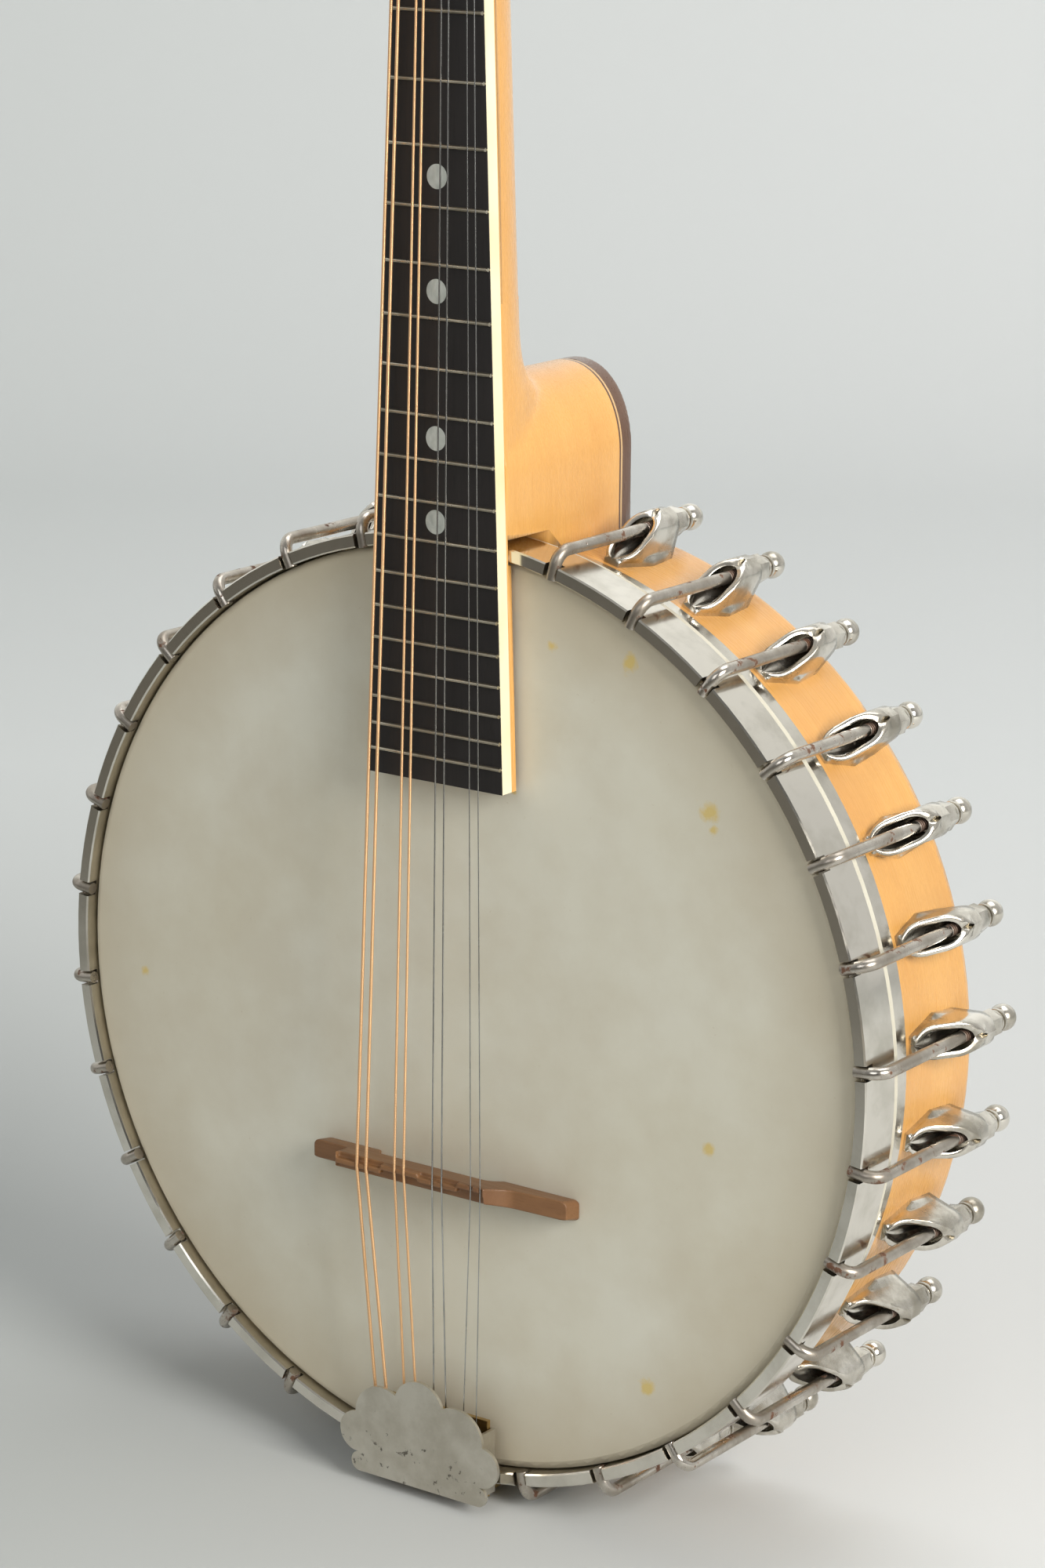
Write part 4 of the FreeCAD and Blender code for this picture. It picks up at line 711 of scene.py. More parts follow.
def show(piece: bpy.types.Object, body: str, slot: str, *nodes: str) -> bpy.types.Object:
    """Attach a finished piece to its body and hide the solids that it stands for.

    Args:
        piece: The piece, in its place.
        body: The body that it rides on.
        slot: Not used.
        nodes: The solids that it stands for.

    Returns:
        The piece.
    """
    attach(piece, body)
    if nodes:
        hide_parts(*nodes)
    log.info("%s: %d faces on %s", piece.name, len(piece.data.polygons), body)
    return piece


def copy_of_node(node: str, keep: Callable[[Vector], bool], name: str) -> bpy.types.Object:
    """Return a merged copy of part of a solid.

    Args:
        node: The node's name.
        keep: Says of a face's middle whether the face is wanted.
        name: The copy's name.

    Returns:
        A merged copy of part of a solid.
    """
    shape = bmesh.new()
    shape.from_mesh(frame["nodes"][node].data)
    spare = [face for face in shape.faces if not keep(face.calc_center_median())]
    bmesh.ops.delete(shape, geom=spare, context="FACES")
    bmesh.ops.remove_doubles(shape, verts=shape.verts, dist=1e-6)
    mesh = bpy.data.meshes.new(name)
    shape.to_mesh(mesh)
    shape.free()
    mesh.materials.clear()
    made = bpy.data.objects.new(name, mesh)
    bpy.context.scene.collection.objects.link(made)
    return made


def cast(piece: bpy.types.Object, grain: float, passes: int, share: float, name: str) -> bpy.types.Object:
    """Return a piece with its edges softened as a casting's or a tumbled part's are.

    Args:
        piece: A closed mesh object; it is removed.
        grain: The size of the steps that the form is rebuilt from, in metres.
        passes: How often it is smoothed.
        share: The share of its faces that stays.
        name: The new object's name.

    Returns:
        A piece with its edges softened as a casting's or a tumbled part's are.
    """
    remesh = piece.modifiers.new("rebuild", "REMESH")
    remesh.mode = "VOXEL"
    remesh.voxel_size = grain
    remesh.use_smooth_shade = True
    smooth = piece.modifiers.new("soften", "SMOOTH")
    smooth.factor = 0.5
    smooth.iterations = passes
    thin = piece.modifiers.new("thin", "DECIMATE")
    thin.ratio = share
    made = bake(piece, name)
    bpy.data.objects.remove(piece)
    return made


def skin_rings(shape: bmesh.types.BMesh, rows: Sequence[Sequence[bmesh.types.BMVert]]) -> None:
    """Join rings of points by faces and close both ends.

    Args:
        shape: The mesh that is being built.
        rows: The rings, each with the same count of points.
    """
    for row, following in zip(rows, rows[1:]):
        for k, vert in enumerate(row):
            after = (k + 1) % len(row)
            shape.faces.new((vert, row[after], following[after], following[k]))
    shape.faces.new(rows[0])
    shape.faces.new(rows[-1])


# ------------------------------------------------------------------ where things are
@dataclass(frozen=True)
class PotPlace:
    """Where the pot is in the frame, worked out from its solids."""

    centre_height: float
    front: float
    skin: float

    @classmethod
    def from_frame(cls) -> "PotPlace":
        """Return the pot's place.

        Returns:
            The pot's place.
        """
        hoop_low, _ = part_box("tension_hoop")
        rim_low, rim_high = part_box("tone_ring")
        skin_low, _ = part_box("head_skin")
        return cls((rim_low.z + rim_high.z) / 2, hoop_low.y, skin_low.y)

    def at(self, x: float, y: float, z: float) -> Vector:
        """Return a point given in millimetres from the pot's axis and the hoop's front."""
        return Vector((x * MM, self.front + y * MM, self.centre_height + z * MM))


# ------------------------------------------------------------------ finishes
class Finishes:
    """All of the banjo's finishes."""

    def __init__(self, pot: PotPlace) -> None:
        """Set up the finishes.

        Args:
            pot: The pot's place, which some patterns are centred on.
        """
        fx = SharedEffects()
        high = pot.centre_height
        maple: Stops = ((0.25, (0.61, 0.295, 0.07)), (0.5, (0.70, 0.365, 0.098)),
                        (0.75, (0.77, 0.435, 0.135)))
        self.rim_maple = Wood("rim_maple", fx, maple, GrainWay.AROUND, 1.0, (0.50, 0.24, 0.07), 0.5,
                              (0.22, 0.36), 0.4, 0.00003, high)
        self.neck_maple = Wood("neck_maple", fx, maple, GrainWay.UPWARDS, 1.0, (0.60, 0.32, 0.11), 0.35,
                               (0.22, 0.36), 0.4, 0.00003)
        self.dowel_maple = Wood("dowel_maple", fx, ((0.3, (0.42, 0.24, 0.10)), (0.7, (0.58, 0.38, 0.19))),
                                GrainWay.UPWARDS, 1.0, (0.3, 0.17, 0.08), 0.4, (0.45, 0.6), 0.0)
        self.ebony = Wood("ebony", fx, ((0.3, (0.007, 0.006, 0.006)), (0.7, (0.017, 0.015, 0.015))),
                          GrainWay.UPWARDS, 1.3, (0.030, 0.024, 0.022), 0.4, (0.34, 0.46), 0.0, 0.00005)
        self.heel_brown = Wood("heel_brown", fx, ((0.3, (0.075, 0.030, 0.013)), (0.7, (0.14, 0.065, 0.03))),
                               GrainWay.UPWARDS, 1.0, (0.05, 0.02, 0.01), 0.4, (0.25, 0.4), 0.3)
        self.heel_light = Wood("heel_light", fx, ((0.3, (0.50, 0.30, 0.13)), (0.7, (0.66, 0.45, 0.22))),
                               GrainWay.UPWARDS, 1.0)
        self.walnut = Wood("walnut", fx, ((0.3, (0.145, 0.062, 0.021)), (0.7, (0.30, 0.15, 0.058))),
                           GrainWay.ACROSS, 1.4, (0.10, 0.04, 0.018), 0.5, (0.38, 0.52), 0.05, 0.00008)
        nickel: Colour = (0.74, 0.705, 0.635)
        self.nickel = Metal("nickel", fx, nickel, (0.60, 0.57, 0.50), (0.16, 0.12, 0.07), 0.3, 0.06, 200.0,
                            (0.13, 0.24))
        self.cast_nickel = Metal("cast_nickel", fx, nickel, (0.38, 0.35, 0.29), (0.20, 0.13, 0.06), 0.4,
                                 0.22,
                                 170.0, (0.14, 0.34))
        self.satin_nickel = Metal("satin_nickel", fx, (0.60, 0.575, 0.51), (0.50, 0.475, 0.41),
                                  (0.08, 0.07, 0.05), 0.4, 0.06, 90.0, (0.38, 0.52), 0.00003, 0.12)
        self.cover_nickel = Metal("cover_nickel", fx, (0.64, 0.605, 0.53), (0.52, 0.485, 0.41),
                                  (0.07, 0.06, 0.045), 0.4, 0.05, 90.0, (0.36, 0.5), 0.00003, 0.3,
                                  pits_below=pot.centre_height - 112.0 * MM)
        self.hook_steel = Metal("hook_steel", fx, (0.60, 0.56, 0.50), (0.36, 0.32, 0.27),
                                (0.14, 0.065, 0.035),
                                0.45, 0.36, 240.0, (0.18, 0.42), 0.00004, 0.2, pot.front + 41.0 * MM)
        self.brass = Metal("brass", fx, (0.72, 0.52, 0.22), (0.42, 0.28, 0.11), (0.12, 0.07, 0.03), 0.4,
                           0.15)
        self.steel = Metal("steel", fx, (0.52, 0.51, 0.49), (0.36, 0.35, 0.33), (0.18, 0.10, 0.06), 0.4,
                           0.12)
        self.fret_metal = Metal("fret_metal", fx, (0.62, 0.57, 0.46), (0.40, 0.36, 0.28),
                                (0.14, 0.11, 0.06),
                                0.4, 0.1, 200.0, (0.22, 0.4))
        self.plain_wire = Metal("plain_wire", fx, (0.50, 0.50, 0.49), (0.33, 0.33, 0.32), (0.15, 0.12, 0.1),
                                0.3, 0.05, 200.0, (0.2, 0.3))
        self.bronze_wire = WoundWire("bronze_wire", fx, (0.98, 0.66, 0.38), (0.74, 0.42, 0.20))
        self.ivoroid = Horn("ivoroid", fx, (0.88, 0.80, 0.58), (0.80, 0.66, 0.38))
        self.bone = Horn("bone", fx, (0.84, 0.79, 0.66), (0.72, 0.65, 0.48))
        self.pearl = Horn("pearl", fx, (0.50, 0.52, 0.48), (0.30, 0.32, 0.29), (500.0, 120.0, 300.0), 0.2,
                          0.6)
        self.skin = Calfskin("calfskin", fx, high)

    def by_node(self) -> Dict[str, Finish]:
        """Return the finish of each solid that shows as it is.

        Returns:
            The finish of each solid that shows as it is.
        """
        worn: Dict[str, Finish] = {
            "rim_shell": self.rim_maple, "rim_band": self.nickel, "tone_ring": self.brass,
            "head_skin": self.skin, "flesh_hoop": self.brass, "tension_hoop": self.nickel,
            "bracket_hooks": self.hook_steel, "bracket_shoes": self.cast_nickel, "shoe_bolts": self.steel,
            "shoe_washers": self.steel, "bracket_nuts": self.cast_nickel, "neck": self.neck_maple,
            "heel_cap": self.heel_brown, "heel_light_line": self.heel_light,
            "heel_dark_line": self.heel_brown,
            "fingerboard": self.ebony, "side_binding": self.ivoroid, "frets": self.fret_metal,
            "position_dots": self.pearl, "string_nut": self.bone, "peghead_veneer": self.ebony,
            "dowel_stick": self.dowel_maple, "brace_plate": self.satin_nickel, "brace_pin": self.steel,
            "end_bolt": self.steel, "end_spacer": self.brass, "tailpiece_base": self.brass,
            "string_pegs": self.brass, "tailpiece_cover": self.cover_nickel, "bridge": self.walnut,
            "tuner_plate_left": self.satin_nickel, "tuner_plate_right": self.satin_nickel,
            "plate_screws": self.steel, "post_bushings": self.cast_nickel}
        for number in range(1, 9):
            worn["string_%d" % number] = self.bronze_wire if number <= 4 else self.plain_wire
            worn["post_%d" % number] = self.brass
            worn["key_%d" % number] = self.ivoroid
        return worn


# ------------------------------------------------------------------ finer pieces
@dataclass(frozen=True)
class SpoonShoe:
    """One bracket's shoe: a tube round the hook's end, cut open at a slant, on a flared foot.

    Lengths are in millimetres; heights are from the pot's axis and depths from the hoop's front.
    """

    toe: float = 28.6
    lip_end: float = 46.8
    wall_start: float = 48.3
    back: float = 51.5
    toe_round: float = 6.0
    half: float = 4.7
    wall: float = 1.6
    hook_height: float = 137.2
    hole: float = 1.95
    rim: float = 128.95
    toe_height: float = 2.0
    floor: Tuple[float, float] = (1.3, 5.0)
    bowl: float = 2.6
    foot_height: float = 1.3
    foot: Tuple[float, float, float] = (2.4, 5.9, 4.7)
    foot_wide: float = 40.5
    seam: float = 0.004
    stations: int = 44
    levels: int = 15
    depth_spread: float = 1.3
    back_trim: float = 0.93

    def _foot_half(self, y: float) -> float:
        """Return the foot's half width at a depth.

        Args:
            y: The depth, in millimetres from the hoop's front.

        Returns:
            The foot's half width at a depth.
        """
        tip, wide, end = self.foot
        if y < self.foot_wide:
            return tip + (wide - tip) * (y - self.toe) / (self.foot_wide - self.toe)
        return wide + (end - wide) * (y - self.foot_wide) / (self.back - self.foot_wide)

    def _lip_height(self, y: float) -> float:
        """Return how high the slanting cut is at a depth.

        Args:
            y: The depth, in millimetres from the hoop's front.

        Returns:
            How high the slanting cut is at a depth.
        """
        share = min(1.0, (y - self.toe) / (self.lip_end - self.toe))
        low, high = self.rim + self.toe_height, self.hook_height + self.half
        return low + (high - low) * (0.35 * share + 0.65 * share * share * (3.0 - 2.0 * share))

    def _tube(self, radius: float, height: float) -> float:
        """Return a tube's half width at a height: straight sides below the hook, a half circle above."""
        above = max(0.0, height - self.hook_height)
        return math.sqrt(max(0.0, radius * radius - above * above))

    def _half_section(self, y: float) -> List[Tuple[float, float]]:
        """Return half of the section at a depth as (x, height) pairs, from foot to bowl.

        Args:
            y: The depth, in millimetres from the hoop's front.

        Returns:
            Half of the section at a depth as (x, height) pairs, from foot to bowl.
        """
        left = max(0.0, 1.0 - (y - self.toe) / self.toe_round)
        width = self.half * max(0.12, math.sqrt(1.0 - left * left))
        wall = min(self.wall, width * 0.5)
        lip = self._lip_height(y)
        foot = min(self._foot_half(y), width + 1.5)
        points: List[Tuple[float, float]] = [(0.0, self.rim), (foot * 0.6, self.rim - 0.03)]
        points.append((foot, math.sqrt(self.rim ** 2 - foot ** 2)))
        base = self.rim
        for k in range(self.levels):
            height = base + (lip - base) * (k + 0.35) / (self.levels - 0.65)
            flare = max(0.0, 1.0 - max(0.0, height - base - self.foot_height) / 1.4)
            points.append((self._tube(width, height) + (foot - width) * flare ** 2, height))
        inner = width - wall
        in_wall = y > self.wall_start
        along = (y - self.toe) / (self.wall_start - self.toe)
        bottom = min(base + self.floor[0] + (self.floor[1] - self.floor[0]) * along, lip - 0.3)
        inner_top = min(lip, self.hook_height + inner)
        if in_wall:
            inner, inner_top, bottom = self.hole, self.hook_height + self.hole, self.hook_height - self.hole
        mouth = 0.0 if in_wall else self._tube(inner, inner_top)
        outer_end = points[-1][0]
        if lip < self.hook_height + self.half - 0.01:
            points.append((mouth + (outer_end - mouth) * 0.75, lip + wall * 0.24))
            points.append((mouth + (outer_end - mouth) * 0.35, lip + wall * 0.24))
        else:
            points.append((0.0, lip))
            points.append((0.0, (lip + inner_top) / 2))
        for k in range(self.levels):
            height = inner_top + (bottom - inner_top) * k / (self.levels - 1)
            if in_wall:
                half_width = math.sqrt(max(0.0, self.hole ** 2 - (height - self.hook_height) ** 2))
            else:
                deep = max(0.0, 1.0 - (height - bottom) / self.bowl)
                half_width = self._tube(inner, height) * math.sqrt(max(0.0, 1.0 - deep * deep))
            points.append((half_width, height))
        return [points[0], *((max(x, self.seam), height) for x, height in points[1:-1]),
                (0.0, points[-1][1])]

    def make(self, pot: PotPlace, name: str) -> bpy.types.Object:
        """Return one shoe at the top of the pot, with the pot's axis through the origin.

        Args:
            pot: The pot's place.
            name: The new object's name.

        Returns:
            One shoe at the top of the pot, with the pot's axis through the origin.
        """
        reach = self.wall_start - self.toe
        depths = [self.toe + reach * (k / self.stations) ** self.depth_spread
                  for k in range(self.stations + 1)]
        depths += [self.wall_start + 0.02, self.back - 0.3, self.back]

        def loft(shape: bmesh.types.BMesh) -> None:
            """Add the sections and the faces between them.

            Args:
                shape: The mesh that is being built.
            """
            rows = []
            for y in depths:
                half = self._half_section(y)
                trim = self.back_trim if y == self.back else 1.0
                ring = half + [(-x, height) for x, height in reversed(half[1:-1])]
                rows.append([shape.verts.new((x * trim * MM, pot.front + y * MM, height * MM)) for x,
                             height in ring])
            skin_rings(shape, rows)

        shoe = mesh_object(name, loft)
        shade(shoe, 50.0)
        return shoe


@dataclass
class Brackets:
    """The shoes and nuts, cast and rounded, set round the pot by a geometry tree."""

    pot: PotPlace
    finishes: Finishes
    per_side: int = 14
    first: float = 13.8
    last: float = 167.7
    phase: float = 0.8

    def _set_round(self, name: str, part: bpy.types.Object, finish: Finish) -> bpy.types.Object:
        """Return copies of a part at every bracket's place.

        Args:
            name: The new object's name.
            part: The part, at the top of the pot with the pot's axis through the origin.
            finish: Its finish.

        Returns:
            Copies of a part at every bracket's place.
        """
        step = (self.last - self.first) / (self.per_side - 1)
        tree = GeometryBoard(name + "_tree", {
            "Per side": self.per_side, "First": math.radians(self.first), "Step": math.radians(step),
            "Phase": math.radians(self.phase), "Centre height": self.pot.centre_height,
            "Part": part, "Finish": finish.material()})
        given, index = tree.given, tree.index()
        count = tree.math("MULTIPLY", given["Per side"], 2.0)
        points = tree.add("GeometryNodePoints", {"Count": count}).outputs[0]
        place = tree.math("MODULO", index, given["Per side"])
        side = tree.math("SUBTRACT", tree.math("MULTIPLY", tree.math("LESS_THAN", index, given["Per side"]),
                                               2.0), 1.0)
        turn = tree.math("ADD", given["First"], tree.math("MULTIPLY", place, given["Step"]))
        turn = tree.math("ADD", tree.math("MULTIPLY", turn, side), given["Phase"])
        spin = tree.add("ShaderNodeCombineXYZ", {1: turn}).outputs[0]
        centre = tree.add("ShaderNodeCombineXYZ", {2: given["Centre height"]}).outputs[0]
        lifted = tree.add("GeometryNodeSetPosition", {"Geometry": points, "Offset": centre}).outputs[0]
        shape = tree.add("GeometryNodeObjectInfo", {"Object": given["Part"]}).outputs["Geometry"]
        around = tree.add("GeometryNodeInstanceOnPoints",
                          {"Points": lifted, "Instance": shape, "Rotation": spin})
        return tree.finish(around.outputs[0], name)

    def _one(self, node: str, name: str) -> bpy.types.Object:
        """Return the first bracket's part of a node, turned to the top of the pot.

        Args:
            node: The node that holds the parts.
            name: The new object's name.

        Returns:
            The first bracket's part of a node, turned to the top of the pot.
        """
        angle = math.radians(self.first + self.phase)
        half_step = math.radians((self.last - self.first) / (self.per_side - 1) / 2)
        high = self.pot.centre_height

        def near(middle: Vector) -> bool:
            """Return whether a face belongs to the first bracket."""
            return abs(math.atan2(middle.x, middle.z - high) - angle) < half_step

        part = copy_of_node(node, near, name)
        part.data.transform(Matrix.Rotation(-angle, 4, "Y") @ Matrix.Translation((0.0, 0.0, -high)))
        return part

    def _nut(self) -> bpy.types.Object:
        """Return one nut with its edges taken off.

        Returns:
            One nut with its edges taken off.
        """
        plain = self._one("bracket_nuts", "nut_plain")
        bevel = plain.modifiers.new("edges", "BEVEL")
        bevel.width = 0.16 * MM
        bevel.segments = 2
        bevel.limit_method = "ANGLE"
        bevel.angle_limit = math.radians(25.0)
        nut = bake(plain, "nut_part")
        bpy.data.objects.remove(plain)
        shade(nut, 28.0)
        return nut

    def build(self) -> None:
        """Build the shoes and the nuts."""
        parts = (("bracket_shoes", SpoonShoe().make(self.pot, "shoe_part")), ("bracket_nuts", self._nut()))
        for node, part in parts:
            piece = self._set_round(node.replace("bracket", "rounded"), part, self.finishes.cast_nickel)
            bpy.data.objects.remove(part)
            show(piece, MAIN_BODY, "nickel", node)


@dataclass
class Frets:
    """The frets: crowned wires set up the board by the rule of equal steps."""

    finishes: Finishes
    count: int = 19
    scale_length: float = 352.4 * MM
    width: float = 1.1 * MM
    height: float = 1.0 * MM
    inset: float = 0.15 * MM

    def build(self) -> None:
        """Build the frets in place of the plain ones."""
        board_low, board_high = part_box("fingerboard")
        nut_low, nut_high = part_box("string_nut")
        narrow, wide = nut_high.x - self.inset, board_high.x - self.inset
        tree = GeometryBoard("fret_tree", {
            "Count": self.count, "Scale length": self.scale_length, "Nut height": board_high.z,
            "Face depth": board_low.y, "Half width": narrow,
            "Taper": (wide - narrow) / (board_high.z - board_low.z),
            "Wire width": self.width, "Wire height": self.height,
            "Finish": self.finishes.fret_metal.material()})
        given, math_ = tree.given, tree.math
        number = math_("ADD", tree.index(), 1.0)
        fall = math_("SUBTRACT", 1.0, math_("POWER", 2.0, math_("DIVIDE", number, -12.0)))
        down = math_("MULTIPLY", given["Scale length"], fall)
        half = math_("ADD", given["Half width"], math_("MULTIPLY", down, given["Taper"]))
        place = tree.add("ShaderNodeCombineXYZ", {
            1: given["Face depth"], 2: math_("SUBTRACT", given["Nut height"], down)}).outputs[0]
        points = tree.add("GeometryNodePoints", {"Count": given["Count"], "Position": place}).outputs[0]
        size = tree.add("ShaderNodeCombineXYZ",
                        {0: half, 1: given["Wire height"], 2: given["Wire width"]}).outputs[0]
        crown = tree.add("GeometryNodeMeshCylinder",
                         {"Vertices": 16, "Radius": 1.0, "Depth": 2.0}).outputs[0]
        thin = tree.add("GeometryNodeTransform", {"Geometry": crown, "Scale": (0.5, 1.0, 1.0)}).outputs[0]
        lying = tree.add("GeometryNodeTransform", {
            "Geometry": thin, "Rotation": (0.0, math.pi / 2, 0.0)}).outputs[0]
        wires = tree.add("GeometryNodeInstanceOnPoints",
                         {"Points": points, "Instance": lying, "Scale": size})
        piece = tree.finish(wires.outputs[0], "crowned_frets")
        shade(piece, 50.0)
        show(piece, MAIN_BODY, "fret_metal", "frets")


@dataclass
class StringEnds:
    """What the strings carry at their ends: the turns wound on the posts."""

    finishes: Finishes
    radii: Tuple[float, ...] = (0.45, 0.45, 0.36, 0.36, 0.22, 0.22, 0.16, 0.16)
    turns: int = 4
    post_radius: float = 3.0 * MM
    clearance: float = 0.04 * MM
    level: float = -5.6 * MM

    def _coil(self, number: int, radius: float, finish: Finish) -> bpy.types.Object:
        """Return the turns of one string on its post.

        Args:
            number: The post's number.
            radius: The string's radius.
            finish: The string's finish.

        Returns:
            The turns of one string on its post.
        """
        joint = next(each for each in frame["joints"] if each["name"] == "post_%d_turn" % number)
        axis, foot = Vector(joint["axis"]), Vector(joint["pos_m"])
        tree = GeometryBoard("coil_tree_%d" % number, {
            "Turns": float(self.turns), "Winding radius": self.post_radius + radius + self.clearance,
            "Wire radius": radius, "Height": self.turns * 2.1 * radius, "Finish": finish.material()})
        given = tree.given
        helix = tree.add("GeometryNodeCurveSpiral", {
            "Resolution": 24, "Rotations": given["Turns"], "Start Radius": given["Winding radius"],
            "End Radius": given["Winding radius"], "Height": given["Height"]}).outputs[0]
        section = tree.add("GeometryNodeCurvePrimitiveCircle",
                           {"Resolution": 8, "Radius": given["Wire radius"]})
        wire = tree.add("GeometryNodeCurveToMesh", {
            "Curve": helix, "Profile Curve": section.outputs[0], "Fill Caps": True}).outputs[0]
        coil = tree.finish(wire, "string_turns_%d" % number)
        turn = axis.to_track_quat("Z", "Y").to_matrix().to_4x4()
        coil.data.transform(Matrix.Translation(foot + axis * (self.level - self.turns * radius)) @ turn)
        return coil

    def build(self) -> None:
        """Build the turns on every post."""
        for number, radius in enumerate(self.radii, start=1):
            wound = number <= 4
            finish: Finish = self.finishes.bronze_wire if wound else self.finishes.plain_wire
            coil = self._coil(number, radius * MM, finish)
            show(coil, "post_%d" % number, "bronze_string" if wound else "plain_string")


@dataclass
class CarvedBridge:
    """The wooden bridge: low flat wings, a crown stepped for each course, and an arch between two feet."""

    finishes: Finishes
    half: float = 43.3
    drops: Tuple[float, float] = (3.2, 6.0)
    crown_ends: Tuple[float, float] = (-28.8, 22.0)
    crown_height: float = 15.3
    wing_heights: Tuple[float, float] = (6.6, 9.0)
    end_height: float = 6.2
    end_round: float = 1.8
    foot: Tuple[float, float] = (-6.2, -0.1)
    crown: Tuple[float, float] = (-1.6, 2.8)
    arch: Tuple[float, float] = (-24.0, 18.0)
    arch_height: float = 4.2
    course_step: float = 12.97
    ridge_places: Tuple[float, ...] = (0.2, 1.5, 0.6, 1.9)
    ridge_half: float = 0.75
    ridge_height: float = 1.9
    pair: float = 3.2
    slot_depth: float = 0.75
    station_gap: float = 0.4
    contact: float = -44.0

    def _height(self, x: float) -> float:
        """Return the bridge's height above the skin at a place along it.

        Args:
            x: The place along the bridge, in millimetres from its middle.

        Returns:
            The bridge's height above the skin at a place along it.
        """
        left, right = self.crown_ends
        side = 0 if x < 0.0 else 1
        away = left - x if side == 0 else x - right
        if away <= 0.0:
            course = self._course(x)
            middle = (course - 1.5) * self.course_step
            in_slot = any(abs(x - middle - way * self.pair / 2) < self.station_gap * 0.8 for way in (-1, 1))
            return self.crown_height - (self.slot_depth if in_slot else 0.0)
        reach = self.half - abs(self.crown_ends[side])
        wing = self.wing_heights[side] + (self.end_height - self.wing_heights[side]) * away / reach
        share = max(0.0, 1.0 - away / self.drops[side])
        return wing + (self.crown_height - wing) * share ** 2.4

    def _course(self, x: float) -> int:
        """Return the number of the course whose step holds a place along the bridge."""
        return min(3, max(0, int(x / self.course_step + 2.0)))

    def _underside(self, x: float) -> float:
        """Return the height of the arch above the skin at a place along the bridge.

        Args:
            x: The place along the bridge, in millimetres from its middle.

        Returns:
            The height of the arch above the skin at a place along the bridge.
        """
        low, high = self.arch
        inside = min(x - low, high - x)
        return self.arch_height * min(1.0, max(0.0, inside / 3.0)) ** 0.6

    def _section(self, x: float) -> List[Tuple[float, float]]:
        """Return the section at a place along the bridge, as (height, z) pairs from the strings' contact.

        Args:
            x: The place along the bridge, in millimetres from its middle.

        Returns:
            The section at a place along the bridge, as (height, z) pairs from the strings' contact.
        """
        top, under = self._height(x), self._underside(x)

        def slope(side: int, height: float) -> float:
            """Return the z of the front or back face at a height.

            Args:
                side: Which of the two faces, none or one.
                height: The height, in millimetres.

            Returns:
                The z of the front or back face at a height.
            """
            share = height / self.crown_height
            face = self.foot[side] + (self.crown[side] - self.foot[side]) * share
            past = max(0.0, abs(x) - self.half + self.end_round) / self.end_round
            middle = (self.foot[0] + self.foot[1]) / 2
            return middle + (face - middle) * math.sqrt(1.0 - 0.55 * past * past)

        left, right = self.crown_ends
        on_crown = left <= x <= right
        shoulder = self.crown_height - self.ridge_height if on_crown else top
        back, front = slope(0, shoulder), slope(1, shoulder)
        if on_crown:
            ridge = self.ridge_places[self._course(x)]
            ridge_back, ridge_front = ridge - self.ridge_half, ridge + self.ridge_half
        else:
            ridge_back, ridge_front = back, front
        return [(under, slope(0, under)), (under, slope(1, under)), (shoulder, front),
                (shoulder, ridge_front), (top, ridge_front), (top, ridge_back), (shoulder, ridge_back),
                (shoulder, back)]

    def build(self, pot: PotPlace) -> None:
        """Build the bridge in place of the plain one.

        Args:
            pot: The pot's place.
        """
        skin = (pot.skin - pot.front) / MM

        def loft(shape: bmesh.types.BMesh) -> None:
            """Add the sections and the faces between them.

            Args:
                shape: The mesh that is being built.
            """
            count = round(2.0 * self.half / self.station_gap)
            rows = []
            for step in range(count + 1):
                x = -self.half + 2.0 * self.half * step / count
                rows.append([shape.verts.new(pot.at(x, skin - height, self.contact + z))
                             for height, z in self._section(x)])
            skin_rings(shape, rows)

        plain = mesh_object("bridge_plain", loft)
        rounded = cast(plain, 0.22 * MM, 12, 0.25, "carved_bridge")
        self.finishes.walnut.dress(rounded)
        shade(rounded, 70.0)
        show(rounded, MAIN_BODY, "bridge_wood", "bridge")


